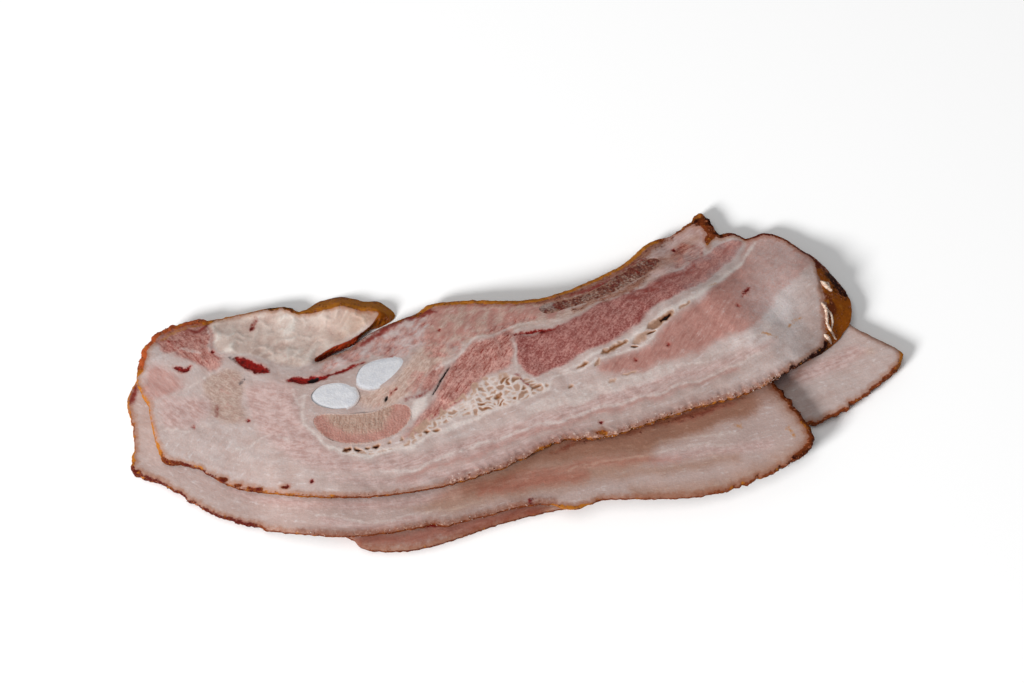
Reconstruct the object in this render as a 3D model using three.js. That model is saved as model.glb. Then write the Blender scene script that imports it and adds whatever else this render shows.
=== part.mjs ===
// Three slices off one slab of smoked pork rib, lying fanned on top of each other.
// Millimetres, +Z up. Each outline point is [x, y] or [x, y, foot]; foot is how far
// the lower edge stands out there past the upper one.
import * as THREE from "three";

const SLICE_THICK = 6;
const STACK_GAP = 0.6;
const STACK_MARGIN = 3;
const INSET_GAP = 0.3;
const NEAR_UNDERCUT = 1.5;

// How a slice hangs where it runs out over the edge of the slice below.
const BEND_RADIUS = 25;
const HANG_SLOPE = 0.4;
const HANG_REACH = 42;
const SOFTENING_PASSES = 3;

const EDGE_PITCH = 4;
const FINE_PITCH = 2;
const FACE_PITCH = 7;
const FLAT_PITCH = 13;

const COLOUR_SLICE = 0xc39d94;
const COLOUR_CARTILAGE = 0xdedde0;
const COLOUR_RIB_END = 0xb08c7a;
const COLOUR_MARROW = 0x6b3f36;

const topSlice = {
  leftEnd: [[-134.5, -55.5], [-139.5, -42], [-142, -31.5], [-146.5, -23.5], [-146, -10.5], [-139, 1],
    [-126, 6.5]],
  farLeft: [[-119, 6.5], [-106.5, 10], [-96, 12.5], [-89, 12.5, 1], [-85.5, 10.5, 2]],
  lobe: [[-77, 11.5, 6], [-68, 14, 6], [-61, 12, 6], [-55, 12, 6], [-53, 10, 6.5]],
  cleftUpper: [[-56, 4, 0.5], [-63.5, -2.5], [-70.5, -6], [-75, -9.5], [-77.5, -12]],
  cleftLower: [[-76.5, -13.5], [-72, -11], [-64, -7], [-57, -0.5], [-48, 5], [-38.5, 9]],
  farMiddle: [[-32.5, 13.5, 1], [-17.5, 14.5, 1], [3, 13, 1], [17.5, 15.5], [33, 23], [45.5, 31], [55, 41],
    [65, 45], [72.5, 51.5]],
  knob: [[77, 55.5], [81, 51.5], [84.5, 46]],
  shoulder: [[90, 46], [95.5, 43.5], [102, 46], [109.5, 44], [118, 37], [123, 31, 4]],
  rightEnd: [[123.5, 19.5, 11], [124, 9, 12], [124, 0, 8], [123.5, -7, 1]],
  nearEdge: [[110.5, -19.5], [94, -30], [72.5, -36.5], [49.5, -45], [34, -49.5], [19, -51], [-4.5, -62.5],
    [-27.5, -69.5], [-54, -73.5], [-80.5, -73], [-100.5, -69], [-111.5, -65], [-120, -60], [-128.5, -57.5]],
};

const middleSlice = {
  leftEnd: [[-147.5, -19.5], [-151, -29], [-148, -39], [-147, -49.5], [-147, -58]],
  nearEdge: [[-133, -65], [-116, -75.5], [-92.5, -83], [-67.5, -87], [-42.5, -85], [-12, -77.5], [7, -72.5],
    [33.5, -72], [68.5, -70.5], [92, -64.5], [112.5, -53.5]],
  rightEnd: [[117.5, -46.5], [112, -35.5], [104, -24]],
  farEdge: [[90, -5], [70.5, 2.5], [30.5, -7.5], [-12.5, -16.5], [-60, -24], [-91.5, -24.5], [-115.5, -16],
    [-137, -13.5]],
};

const bottomSlice = {
  nearEdge: [[-61, -86], [-56, -90], [-39, -90.5], [-23.5, -86.5], [-4.5, -79.5], [14.5, -74.5], [34, -70],
    [73, -54.5], [119, -38], [141, -25.5]],
  rightEnd: [[154.5, -12], [153.5, -6], [139.5, 2], [123, 13]],
  farEdge: [[107.5, 19], [75, 14], [35, -4.5], [-12.5, -26], [-51.5, -45], [-73.5, -62], [-72, -78.5]],
};

// The cut cartilage and rib that show in the top slice and run right through it.
const insets = {
  cartilage_front: {
    colour: COLOUR_CARTILAGE,
    rim: [[-78, -30], [-74.5, -25.5], [-67, -24.5], [-61.5, -27.5], [-60, -32.5], [-63, -36], [-69.5, -36.5],
      [-75.5, -34]],
  },
  cartilage_back: {
    colour: COLOUR_CARTILAGE,
    rim: [[-60.5, -22.5], [-58.5, -17], [-52.5, -14], [-45.5, -13.5], [-42.5, -15.5], [-44.5, -20],
      [-48.5, -24.5], [-53.5, -28], [-59, -26.5]],
  },
  rib_end: {
    colour: COLOUR_RIB_END,
    rim: [[-76.5, -41], [-73, -39], [-64.5, -39.5], [-54, -39], [-45.5, -35.5], [-40, -36.5], [-39, -41],
      [-43, -47], [-50.5, -50.5], [-60, -52], [-69, -50.5], [-74.5, -46]],
  },
  rib_bone: {
    colour: COLOUR_MARROW,
    rim: [[11, 8], [16, 11], [25, 13], [35, 18], [44, 25], [53, 31.5], [59, 32], [57.5, 27], [49, 20.5],
      [40, 14.5], [31, 10.5], [21, 7], [14, 5]],
  },
};

// Height fields over the ground, one value for each grid point.
const GRID = 2;
const LEFT = -176;
const NEAR = -112;
const COLUMNS = 178;
const ROWS = 102;

function newField() {
  return new Float64Array(COLUMNS * ROWS);
}

function heightAt(field, x, y) {
  const u = Math.min(Math.max((x - LEFT) / GRID, 0), COLUMNS - 1.001);
  const v = Math.min(Math.max((y - NEAR) / GRID, 0), ROWS - 1.001);
  const i = Math.floor(u);
  const j = Math.floor(v);
  const at = j * COLUMNS + i;
  const low = field[at] * (1 - u + i) + field[at + 1] * (u - i);
  const high = field[at + COLUMNS] * (1 - u + i) + field[at + COLUMNS + 1] * (u - i);
  return low * (1 - v + j) + high * (v - j);
}

function blurred(field) {
  const weights = [1 / 16, 4 / 16, 6 / 16, 4 / 16, 1 / 16];
  let result = field;
  for (const step of [1, COLUMNS]) {
    const last = result;
    result = Float64Array.from(last, (value, at) => {
      const along = step === 1 ? at % COLUMNS : Math.floor(at / COLUMNS);
      const end = step === 1 ? COLUMNS - 1 : ROWS - 1;
      return weights.reduce((sum, weight, k) => {
        const shift = Math.min(Math.max(along + k - 2, 0), end) - along;
        return sum + weight * last[at + shift * step];
      }, 0);
    });
  }
  return result;
}

function sag(distance) {
  const bendEnd = HANG_SLOPE * BEND_RADIUS;
  if (distance < bendEnd) {
    return (distance * distance) / (2 * BEND_RADIUS);
  }
  return HANG_SLOPE * (distance - bendEnd / 2);
}

// The underside of a slice laid over what is there already: it touches down on that
// or on the ground, and sags away from each edge it hangs over.
function laidOver(surface) {
  const seat = surface.map((height) => (height > 0 ? height + STACK_GAP : 0));
  let under = Float64Array.from(seat);
  const reach = Math.floor(HANG_REACH / GRID);
  for (let dj = -reach; dj <= reach; dj += 1) {
    for (let di = -reach; di <= reach; di += 1) {
      const drop = sag(Math.hypot(di, dj) * GRID);
      for (let j = Math.max(0, -dj); j < Math.min(ROWS, ROWS - dj); j += 1) {
        for (let i = Math.max(0, -di); i < Math.min(COLUMNS, COLUMNS - di); i += 1) {
          const height = seat[(j + dj) * COLUMNS + i + di] - drop;
          const at = j * COLUMNS + i;
          if (height > under[at]) {
            under[at] = height;
          }
        }
      }
    }
  }
  for (let pass = 0; pass < SOFTENING_PASSES; pass += 1) {
    under = blurred(under).map((height, at) => Math.max(height, seat[at]));
  }
  return under;
}

// A closed smooth curve through the points, cut into steps of about one pitch. A loop
// runs counter-clockwise, and each of its points carries its foot as z.
function smoothLoop(points, pitch) {
  const ends = points.map(([x, y, foot = 0]) => new THREE.Vector3(x, y, foot));
  const curve = new THREE.CatmullRomCurve3(ends, true, "catmullrom", 0.5);
  const loop = ends.flatMap((end, i) => {
    const steps = Math.max(1, Math.round(end.distanceTo(ends[(i + 1) % ends.length]) / pitch));
    return Array.from({ length: steps }, (_, k) => curve.getPoint((i + k / steps) / ends.length));
  });
  return THREE.ShapeUtils.area(loop) > 0 ? loop : loop.reverse();
}

// Every point moved along the loop's outward normal by its own amount.
function moved(loop, amountOf) {
  return loop.map((point, i) => {
    const before = loop[(i + loop.length - 1) % loop.length];
    const after = loop[(i + 1) % loop.length];
    const outward = new THREE.Vector3(after.y - before.y, before.x - after.x, 0).normalize();
    return outward.multiplyScalar(amountOf(point)).add(point);
  });
}

function inLoop(loop, x, y) {
  let inside = false;
  loop.forEach((a, i) => {
    const b = loop[(i + 1) % loop.length];
    if (a.y > y !== b.y > y && x < a.x + ((b.x - a.x) * (y - a.y)) / (b.y - a.y)) {
      inside = !inside;
    }
  });
  return inside;
}

function inSlice(loops, x, y) {
  return inLoop(loops[0], x, y) && !loops.slice(1).some((hole) => inLoop(hole, x, y));
}

// Points spread over the face in staggered rows, nudged a little off the rows.
function facePoints(loops, pitch) {
  const nudge = 0.4;
  const rimClearance = 0.6 * pitch;
  const rim = loops.flat();
  const points = [];
  const rowStep = (pitch * Math.sqrt(3)) / 2;
  for (let j = 0; j * rowStep < ROWS * GRID; j += 1) {
    for (let i = 0; i * pitch < COLUMNS * GRID; i += 1) {
      const x = LEFT + (i + (j % 2) / 2) * pitch + nudge * Math.sin(12.9 * i + 78.2 * j);
      const y = NEAR + j * rowStep + nudge * Math.sin(39.3 * i + 11.1 * j);
      const clear = rim.every((point) => Math.hypot(point.x - x, point.y - y) > rimClearance);
      if (clear && inSlice(loops, x, y)) {
        points.push(new THREE.Vector3(x, y, 0));
      }
    }
  }
  return points;
}

function circleThrough(a, b, c) {
  const bx = b.x - a.x;
  const by = b.y - a.y;
  const cx = c.x - a.x;
  const cy = c.y - a.y;
  const twice = 2 * (bx * cy - by * cx);
  const x = (cy * (bx * bx + by * by) - by * (cx * cx + cy * cy)) / twice;
  const y = (bx * (cx * cx + cy * cy) - cx * (bx * bx + by * by)) / twice;
  return { x: a.x + x, y: a.y + y, reach: x * x + y * y };
}

// Delaunay triangles over the points, each as three counter-clockwise numbers. They
// grow from one triangle that reaches far outside every slice.
const FAR = 4000;

function triangulated(points) {
  const all = [...points, { x: -FAR, y: -FAR }, { x: FAR, y: -FAR }, { x: 0, y: FAR }];
  const count = points.length;
  const makeTriangle = (a, b, c) => ({ corners: [a, b, c], circle: circleThrough(all[a], all[b], all[c]) });
  let triangles = [makeTriangle(count, count + 1, count + 2)];
  for (let at = 0; at < count; at += 1) {
    const { x, y } = all[at];
    const rimEdges = new Map();
    triangles = triangles.filter(({ corners, circle }) => {
      if ((circle.x - x) ** 2 + (circle.y - y) ** 2 >= circle.reach) {
        return true;
      }
      corners.forEach((a, k) => {
        const b = corners[(k + 1) % 3];
        if (!rimEdges.delete(`${b} ${a}`)) {
          rimEdges.set(`${a} ${b}`, [a, b]);
        }
      });
      return false;
    });
    rimEdges.forEach(([a, b]) => triangles.push(makeTriangle(a, b, at)));
  }
  return triangles.map(({ corners }) => corners).filter((corners) => Math.max(...corners) < count);
}

// A slice or an inset: one sheet of the slab, its underside on the given height field.
function sheet(name, colour, loops, under, pitch) {
  const rim = loops.flat();
  const face = [...rim, ...facePoints(loops, pitch)];
  const count = face.length;
  const foot = [...loops.flatMap((loop) => moved(loop, (point) => point.z)), ...face.slice(rim.length)];
  const positions = [
    ...face.flatMap(({ x, y }) => [x, y, heightAt(under, x, y) + SLICE_THICK]),
    ...foot.flatMap(({ x, y }) => [x, y, heightAt(under, x, y)]),
  ];
  const corners = [];
  for (const [a, b, c] of triangulated(face)) {
    const x = (face[a].x + face[b].x + face[c].x) / 3;
    const y = (face[a].y + face[b].y + face[c].y) / 3;
    if (inSlice(loops, x, y)) {
      corners.push(a, b, c, count + c, count + b, count + a);
    }
  }
  let start = 0;
  for (const loop of loops) {
    loop.forEach((point, i) => {
      const a = start + i;
      const b = start + ((i + 1) % loop.length);
      corners.push(count + a, count + b, b, count + a, b, a);
    });
    start += loop.length;
  }
  const geometry = new THREE.BufferGeometry();
  geometry.setAttribute("position", new THREE.Float32BufferAttribute(positions, 3));
  geometry.setIndex(corners);
  geometry.computeVertexNormals();
  const material = new THREE.MeshStandardMaterial({ color: colour, roughness: 0.5, metalness: 0 });
  const mesh = new THREE.Mesh(geometry, material);
  mesh.name = name;
  return mesh;
}

// The near edges were cut leaning in, so their feet lie inside the upper edge.
function outlineOf(slice) {
  const points = Object.entries(slice).flatMap(([side, edge]) => {
    const lean = side === "nearEdge" ? -NEAR_UNDERCUT : 0;
    return edge.map(([x, y, foot = lean]) => [x, y, foot]);
  });
  return smoothLoop(points, EDGE_PITCH);
}

// The height of the pile once the slice lies on it, taken a little past the slice's
// edge so that the next slice starts to sag only there.
function topOf(surface, loop, under) {
  const reach = moved(loop, () => STACK_MARGIN);
  return surface.map((height, at) => {
    const x = LEFT + (at % COLUMNS) * GRID;
    const y = NEAR + Math.floor(at / COLUMNS) * GRID;
    return inLoop(reach, x, y) ? under[at] + SLICE_THICK : height;
  });
}

const slab = new THREE.Group();
slab.name = "sliced_smoked_pork_rib";

const bottomLoop = outlineOf(bottomSlice);
const ground = newField();
slab.add(sheet("slice_bottom", COLOUR_SLICE, [bottomLoop], ground, FLAT_PITCH));

const middleLoop = outlineOf(middleSlice);
const onBottom = topOf(ground, bottomLoop, ground);
const middleUnder = laidOver(onBottom);
slab.add(sheet("slice_middle", COLOUR_SLICE, [middleLoop], middleUnder, FACE_PITCH));

const topLoop = outlineOf(topSlice);
const topUnder = laidOver(topOf(onBottom, middleLoop, middleUnder));
const holes = [];
for (const [name, { colour, rim }] of Object.entries(insets)) {
  const loop = smoothLoop(rim, FINE_PITCH);
  slab.add(sheet(name, colour, [moved(loop, () => -INSET_GAP / 2)], topUnder, FACE_PITCH));
  holes.push(moved(loop, () => INSET_GAP / 2).reverse());
}
slab.add(sheet("slice_top", COLOUR_SLICE, [topLoop, ...holes], topUnder, FACE_PITCH));

// The origin sits under the middle of the pile, on the ground.
const box = new THREE.Box3().setFromObject(slab);
const middle = box.getCenter(new THREE.Vector3());
slab.children.forEach((mesh) => mesh.geometry.translate(-middle.x, -middle.y, -box.min.z));

export default slab;
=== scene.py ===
"""Three slices of smoked pork rib, fanned on each other: the finished surfaces round the CAD solids."""
import math

import bmesh
import bpy
import numpy as np
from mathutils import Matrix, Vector
from mathutils.geometry import delaunay_2d_cdt


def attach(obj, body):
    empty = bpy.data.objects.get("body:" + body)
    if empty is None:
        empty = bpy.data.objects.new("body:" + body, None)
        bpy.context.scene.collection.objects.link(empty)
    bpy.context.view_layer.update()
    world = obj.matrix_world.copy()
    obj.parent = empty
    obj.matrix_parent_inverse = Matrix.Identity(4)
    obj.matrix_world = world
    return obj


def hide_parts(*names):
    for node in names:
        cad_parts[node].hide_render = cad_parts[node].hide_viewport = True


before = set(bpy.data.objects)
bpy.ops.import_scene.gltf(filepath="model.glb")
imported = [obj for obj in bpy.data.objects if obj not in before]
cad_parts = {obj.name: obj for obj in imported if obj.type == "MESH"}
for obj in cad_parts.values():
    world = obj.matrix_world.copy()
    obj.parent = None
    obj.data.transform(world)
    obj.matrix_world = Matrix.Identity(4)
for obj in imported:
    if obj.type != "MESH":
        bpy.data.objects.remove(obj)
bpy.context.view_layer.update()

# Bottom slice
# The third slice of the slab lies flat under the other two, and shows at its fat right
# end and as a strip along the near side. It is cut through back fat with thin layers of
# lean, inside a browned and crumbly smoked rind.
MM = 0.001
WALL_RISE = 4.6
OUTSIDE = -9.0


def cad_sheet(node):
    """The upper and lower face of a CAD sheet, and its rims as upper and lower points side by side, in mm."""
    shape = bmesh.new()
    shape.from_mesh(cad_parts[node].data)
    bmesh.ops.remove_doubles(shape, verts=shape.verts, dist=0.001 * MM)
    shape.normal_update()
    points = np.array([vert.co for vert in shape.verts]) / MM
    faces, loops = [], []
    for way in (1, -1):
        side = {}
        for face in shape.faces:
            heights = [vert.co.z / MM for vert in face.verts]
            if max(heights) - min(heights) < WALL_RISE and face.normal.z * way > 0:
                side[face] = way
        follow = {}
        for face in side:
            for corner in face.loops:
                if corner.link_loop_radial_next.face not in side:
                    ends = [corner.vert.index, corner.link_loop_next.vert.index][::way]
                    follow[ends[0]] = ends[1]
        chains = []
        while follow:
            first, after = follow.popitem()
            chain = [first]
            while after != first:
                chain.append(after)
                after = follow.pop(after)
            chains.append(points[chain])
        faces.append((points, np.array([[vert.index for vert in face.verts] for face in side])))
        loops.append(chains)
    shape.free()
    rims = []
    for upper in sorted(loops[0], key=len, reverse=True):
        alike = [lower for lower in loops[1] if len(lower) == len(upper)]
        turned = [np.roll(lower, -k, 0) for lower in alike for k in range(len(lower))]
        rims.append(np.hstack([upper, min(turned, key=lambda lower: np.abs(lower - upper)[:, :2].sum())]))
    rims.sort(key=lambda rim: -np.ptp(rim[:, 0]))
    return faces[0], faces[1], rims


class HeightMap:
    """Heights over the ground on a 1 mm grid, from one face of a CAD sheet with its facets smoothed out."""

    MARGIN = 14
    SOFTNESS = 2.5

    def __init__(self, points, triangles):
        used = points[np.unique(triangles)]
        self.low = np.floor(used[:, :2].min(0)) - self.MARGIN
        size = (np.ceil(used[:, :2].max(0)) + self.MARGIN - self.low).astype(int) + 1
        gx, gy = np.meshgrid(np.arange(size[0]) * 1.0, np.arange(size[1]) * 1.0, indexing="ij")
        height = np.zeros(size)
        self.held = np.zeros(size, bool)
        for a, b, c in points[triangles] - [*self.low, 0]:
            start = np.floor(np.minimum(np.minimum(a, b), c)[:2]).astype(int)
            stop = np.ceil(np.maximum(np.maximum(a, b), c)[:2]).astype(int) + 1
            part = (slice(start[0], stop[0]), slice(start[1], stop[1]))
            x, y = gx[part], gy[part]
            whole = (b[0] - a[0]) * (c[1] - a[1]) - (c[0] - a[0]) * (b[1] - a[1])
            v = ((x - a[0]) * (c[1] - a[1]) - (c[0] - a[0]) * (y - a[1])) / whole
            w = ((b[0] - a[0]) * (y - a[1]) - (x - a[0]) * (b[1] - a[1])) / whole
            inside = (v >= 0) & (w >= 0) & (v + w <= 1)
            height[part] = np.where(inside, a[2] + v * (b[2] - a[2]) + w * (c[2] - a[2]), height[part])
            self.held[part] |= inside
        self.height = self.planes(gx, gy, height)

    def soften(self, values):
        reach = range(-self.MARGIN + 1, self.MARGIN)
        weights = np.array([math.exp(-0.5 * (k / self.SOFTNESS) ** 2) for k in reach])
        for axis in (0, 1):
            values = sum(weight * np.roll(values, k, axis) for weight, k in zip(weights, reach))
        return values

    def planes(self, gx, gy, height):
        """Each grid point takes the height of the plane that fits the surface round it best."""
        held = self.held * 1.0
        terms = [np.ones_like(gx), gx, gy]
        left = [[self.soften(held * a * b) for a in terms] for b in terms]
        right = [self.soften(held * a * height) for a in terms]
        matrix = np.moveaxis(np.array(left), (0, 1), (-2, -1)) + 1e-9 * np.eye(3)
        solved = np.linalg.solve(matrix, np.moveaxis(np.array(right), 0, -1)[..., None])[..., 0]
        return solved[..., 0] + solved[..., 1] * gx + solved[..., 2] * gy

    def at(self, place):
        spot = np.clip(place - self.low, 0, np.array(self.height.shape) - 1.001)
        i, j = spot.astype(int).T
        u, v = (spot - np.floor(spot)).T
        h = self.height
        low = h[i, j] * (1 - u) + h[i + 1, j] * u
        high = h[i, j + 1] * (1 - u) + h[i + 1, j + 1] * u
        return low * (1 - v) + high * v

    def near(self, place):
        i, j = np.clip(np.round(place - self.low), 0, np.array(self.held.shape) - 1).astype(int).T
        grown = self.held.copy()
        for axis in (0, 1):
            grown |= np.roll(grown, 1, axis) | np.roll(grown, -1, axis)
        return grown[i, j]


def curve_through(points, pitch, closed=True):
    """A smooth curve through the points, in steps of about one pitch."""
    points = np.asarray(points, float)
    count = len(points)
    last = count if closed else count - 1
    gaps = np.linalg.norm((np.roll(points, -1, 0) - points)[:last, :2], axis=1)
    steps = np.maximum(1, np.round(gaps / pitch).astype(int))
    start = np.repeat(np.arange(last), steps)
    t = np.concatenate([np.arange(k) / k for k in steps])[:, None]
    if closed:
        a, b, c, d = (points[(start + k) % count] for k in (-1, 0, 1, 2))
    else:
        a, b, c, d = (points[np.clip(start + k, 0, count - 1)] for k in (-1, 0, 1, 2))
    curve = 0.5 * (2 * b + (c - a) * t + (2 * a - 5 * b + 4 * c - d) * t**2 + (3 * b - a - 3 * c + d) * t**3)
    return curve if closed else np.vstack([curve, points[-1:]])


def outward_of(loop):
    along = np.roll(loop, -1, 0) - np.roll(loop, 1, 0)
    along /= np.linalg.norm(along, axis=1)[:, None] + 1e-9
    return np.c_[along[:, 1], -along[:, 0]]


def nearest(place, targets):
    """The distance from each place to the nearest target, and which target it is."""
    at_once = 3000
    far, which = np.empty(len(place)), np.empty(len(place), int)
    for start in range(0, len(place), at_once):
        part = slice(start, start + at_once)
        dx, dy = (place[part, None, k] - targets[None, :, k] for k in (0, 1))
        gaps = dx**2 + dy**2
        which[part] = gaps.argmin(1)
        far[part] = np.sqrt(gaps.min(1))
    return far, which


def wander(place, size, seed, rough=0):
    """Smooth random values from -1 to 1 that change over about the given size in mm."""
    cells, contrast = 256, 1.4
    table = np.random.default_rng(seed).uniform(-1, 1, (cells, cells))
    total, weight = 0, 0
    for octave in range(rough + 1):
        spot = place * (2**octave / size) + 31.7 * octave
        cell = np.floor(spot).astype(int)
        t = spot - cell
        t = t * t * (3 - 2 * t)
        i, j = cell.T % cells
        k, m = (i + 1) % cells, (j + 1) % cells
        near = table[i, j] * (1 - t[:, 0]) + table[k, j] * t[:, 0]
        far = table[i, m] * (1 - t[:, 0]) + table[k, m] * t[:, 0]
        total = total + (near * (1 - t[:, 1]) + far * t[:, 1]) / 2**octave
        weight += 1 / 2**octave
    return total / weight * contrast


def step(values, low, high):
    """0 up to the low value, 1 from the high value on, and a smooth rise between them."""
    t = np.clip((values - low) / (high - low), 0, 1)
    return t * t * (3 - 2 * t)


def stroke(place, line, half_width, taper=0.0):
    """How far inside a stroke along the line each place lies, in mm, negative outside it."""
    line = np.asarray(line, float)
    if len(line) > 1:
        length = np.linalg.norm(np.diff(line, axis=0), axis=1).sum()
        line = curve_through(line, np.clip(length / 6, 0.3, 1.5), closed=False)
    depth = np.full(len(place), OUTSIDE)
    reach = half_width - OUTSIDE
    close = np.all((place > line.min(0) - reach) & (place < line.max(0) + reach), axis=1)
    spots = place[close]
    best = np.full(len(spots), OUTSIDE)
    run = np.r_[0, np.cumsum(np.linalg.norm(np.diff(line, axis=0), axis=1))]
    widths = half_width * (1 - taper * np.abs(2 * run / (run[-1] + 1e-9) - 1) ** 3)
    for k in range(max(1, len(line) - 1)):
        a, b = line[k], line[min(k + 1, len(line) - 1)]
        t = np.clip(((spots - a) @ (b - a)) / ((b - a) @ (b - a) + 1e-12), 0, 1)
        width = widths[k] + t * (widths[min(k + 1, len(line) - 1)] - widths[k])
        best = np.maximum(best, width - np.linalg.norm(spots - a - t[:, None] * (b - a), axis=1))
    depth[close] = best
    return depth


def patch(place, outline):
    """How far inside the outline each place lies, in mm, negative outside it."""
    loop = curve_through(outline, 2)
    ends = np.roll(loop, -1, 0)
    depth = stroke(place, np.vstack([loop, loop[:1]]), 0)
    inside = np.zeros(len(place), bool)
    for a, b in zip(loop, ends):
        crosses = (a[1] > place[:, 1]) != (b[1] > place[:, 1])
        beside = a[0] + (b[0] - a[0]) * (place[:, 1] - a[1]) / (b[1] - a[1] + 1e-12)
        inside ^= crosses & (place[:, 0] < beside)
    deep = nearest(place[inside], loop)[0]
    depth[inside] = np.minimum(np.where(-depth[inside] < -OUTSIDE, -depth[inside], deep), -OUTSIDE)
    return depth


def most(*depths):
    return np.max(depths, axis=0)


def all_of(place, shape_of, shapes, *sizes):
    return most(*[shape_of(place, shape, *sizes) for shape in shapes])


def along_rim(place, lines, reach=5.0):
    """1 beside the given lengths of rim, falling to 0 within a few mm of them."""
    return step(all_of(place, stroke, lines, reach), -2.5, 0.5)


def drifted(place, seed):
    """The places moved about a little, so that what is drawn on them gets an uneven border."""
    moves = [wander(place, 8, seed + k) + 0.4 * wander(place, 2.5, seed + 10 + k, 1) for k in (0, 1)]
    return place + np.stack(moves, axis=1)


def filled(loops, inner):
    """Triangles over what lies inside the first loop and outside the others."""
    flat = np.vstack([*loops, inner])
    starts = np.cumsum([0] + [len(loop) for loop in loops])
    faces = [list(range(a, b)) for a, b in zip(starts[:-1], starts[1:])]
    result = delaunay_2d_cdt([Vector(spot) for spot in flat.tolist()], [], faces, 0, 1e-5, True)
    origin = [source[0] for source in result[3]]
    return np.array([[origin[k] for k in face] for face, home in zip(result[2], result[5])
                     if len(home) == len(loops)])


def spread(low, high, pitch):
    """Points in staggered rows from the low to the high corner."""
    columns = np.arange(low[0], high[0], pitch)
    rows = np.arange(low[1], high[1], pitch * math.sqrt(3) / 2)
    x, y = np.meshgrid(columns, rows)
    x[1::2] += pitch / 2
    points = np.c_[x.ravel(), y.ravel()]
    unevenness = 0.06
    return points + np.random.default_rng(3).uniform(-unevenness, unevenness, points.shape) * pitch


def placed(name, data):
    """A new object of the scene that shows the data."""
    thing = bpy.data.objects.new(name, data)
    bpy.context.collection.objects.link(thing)
    return thing


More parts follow.
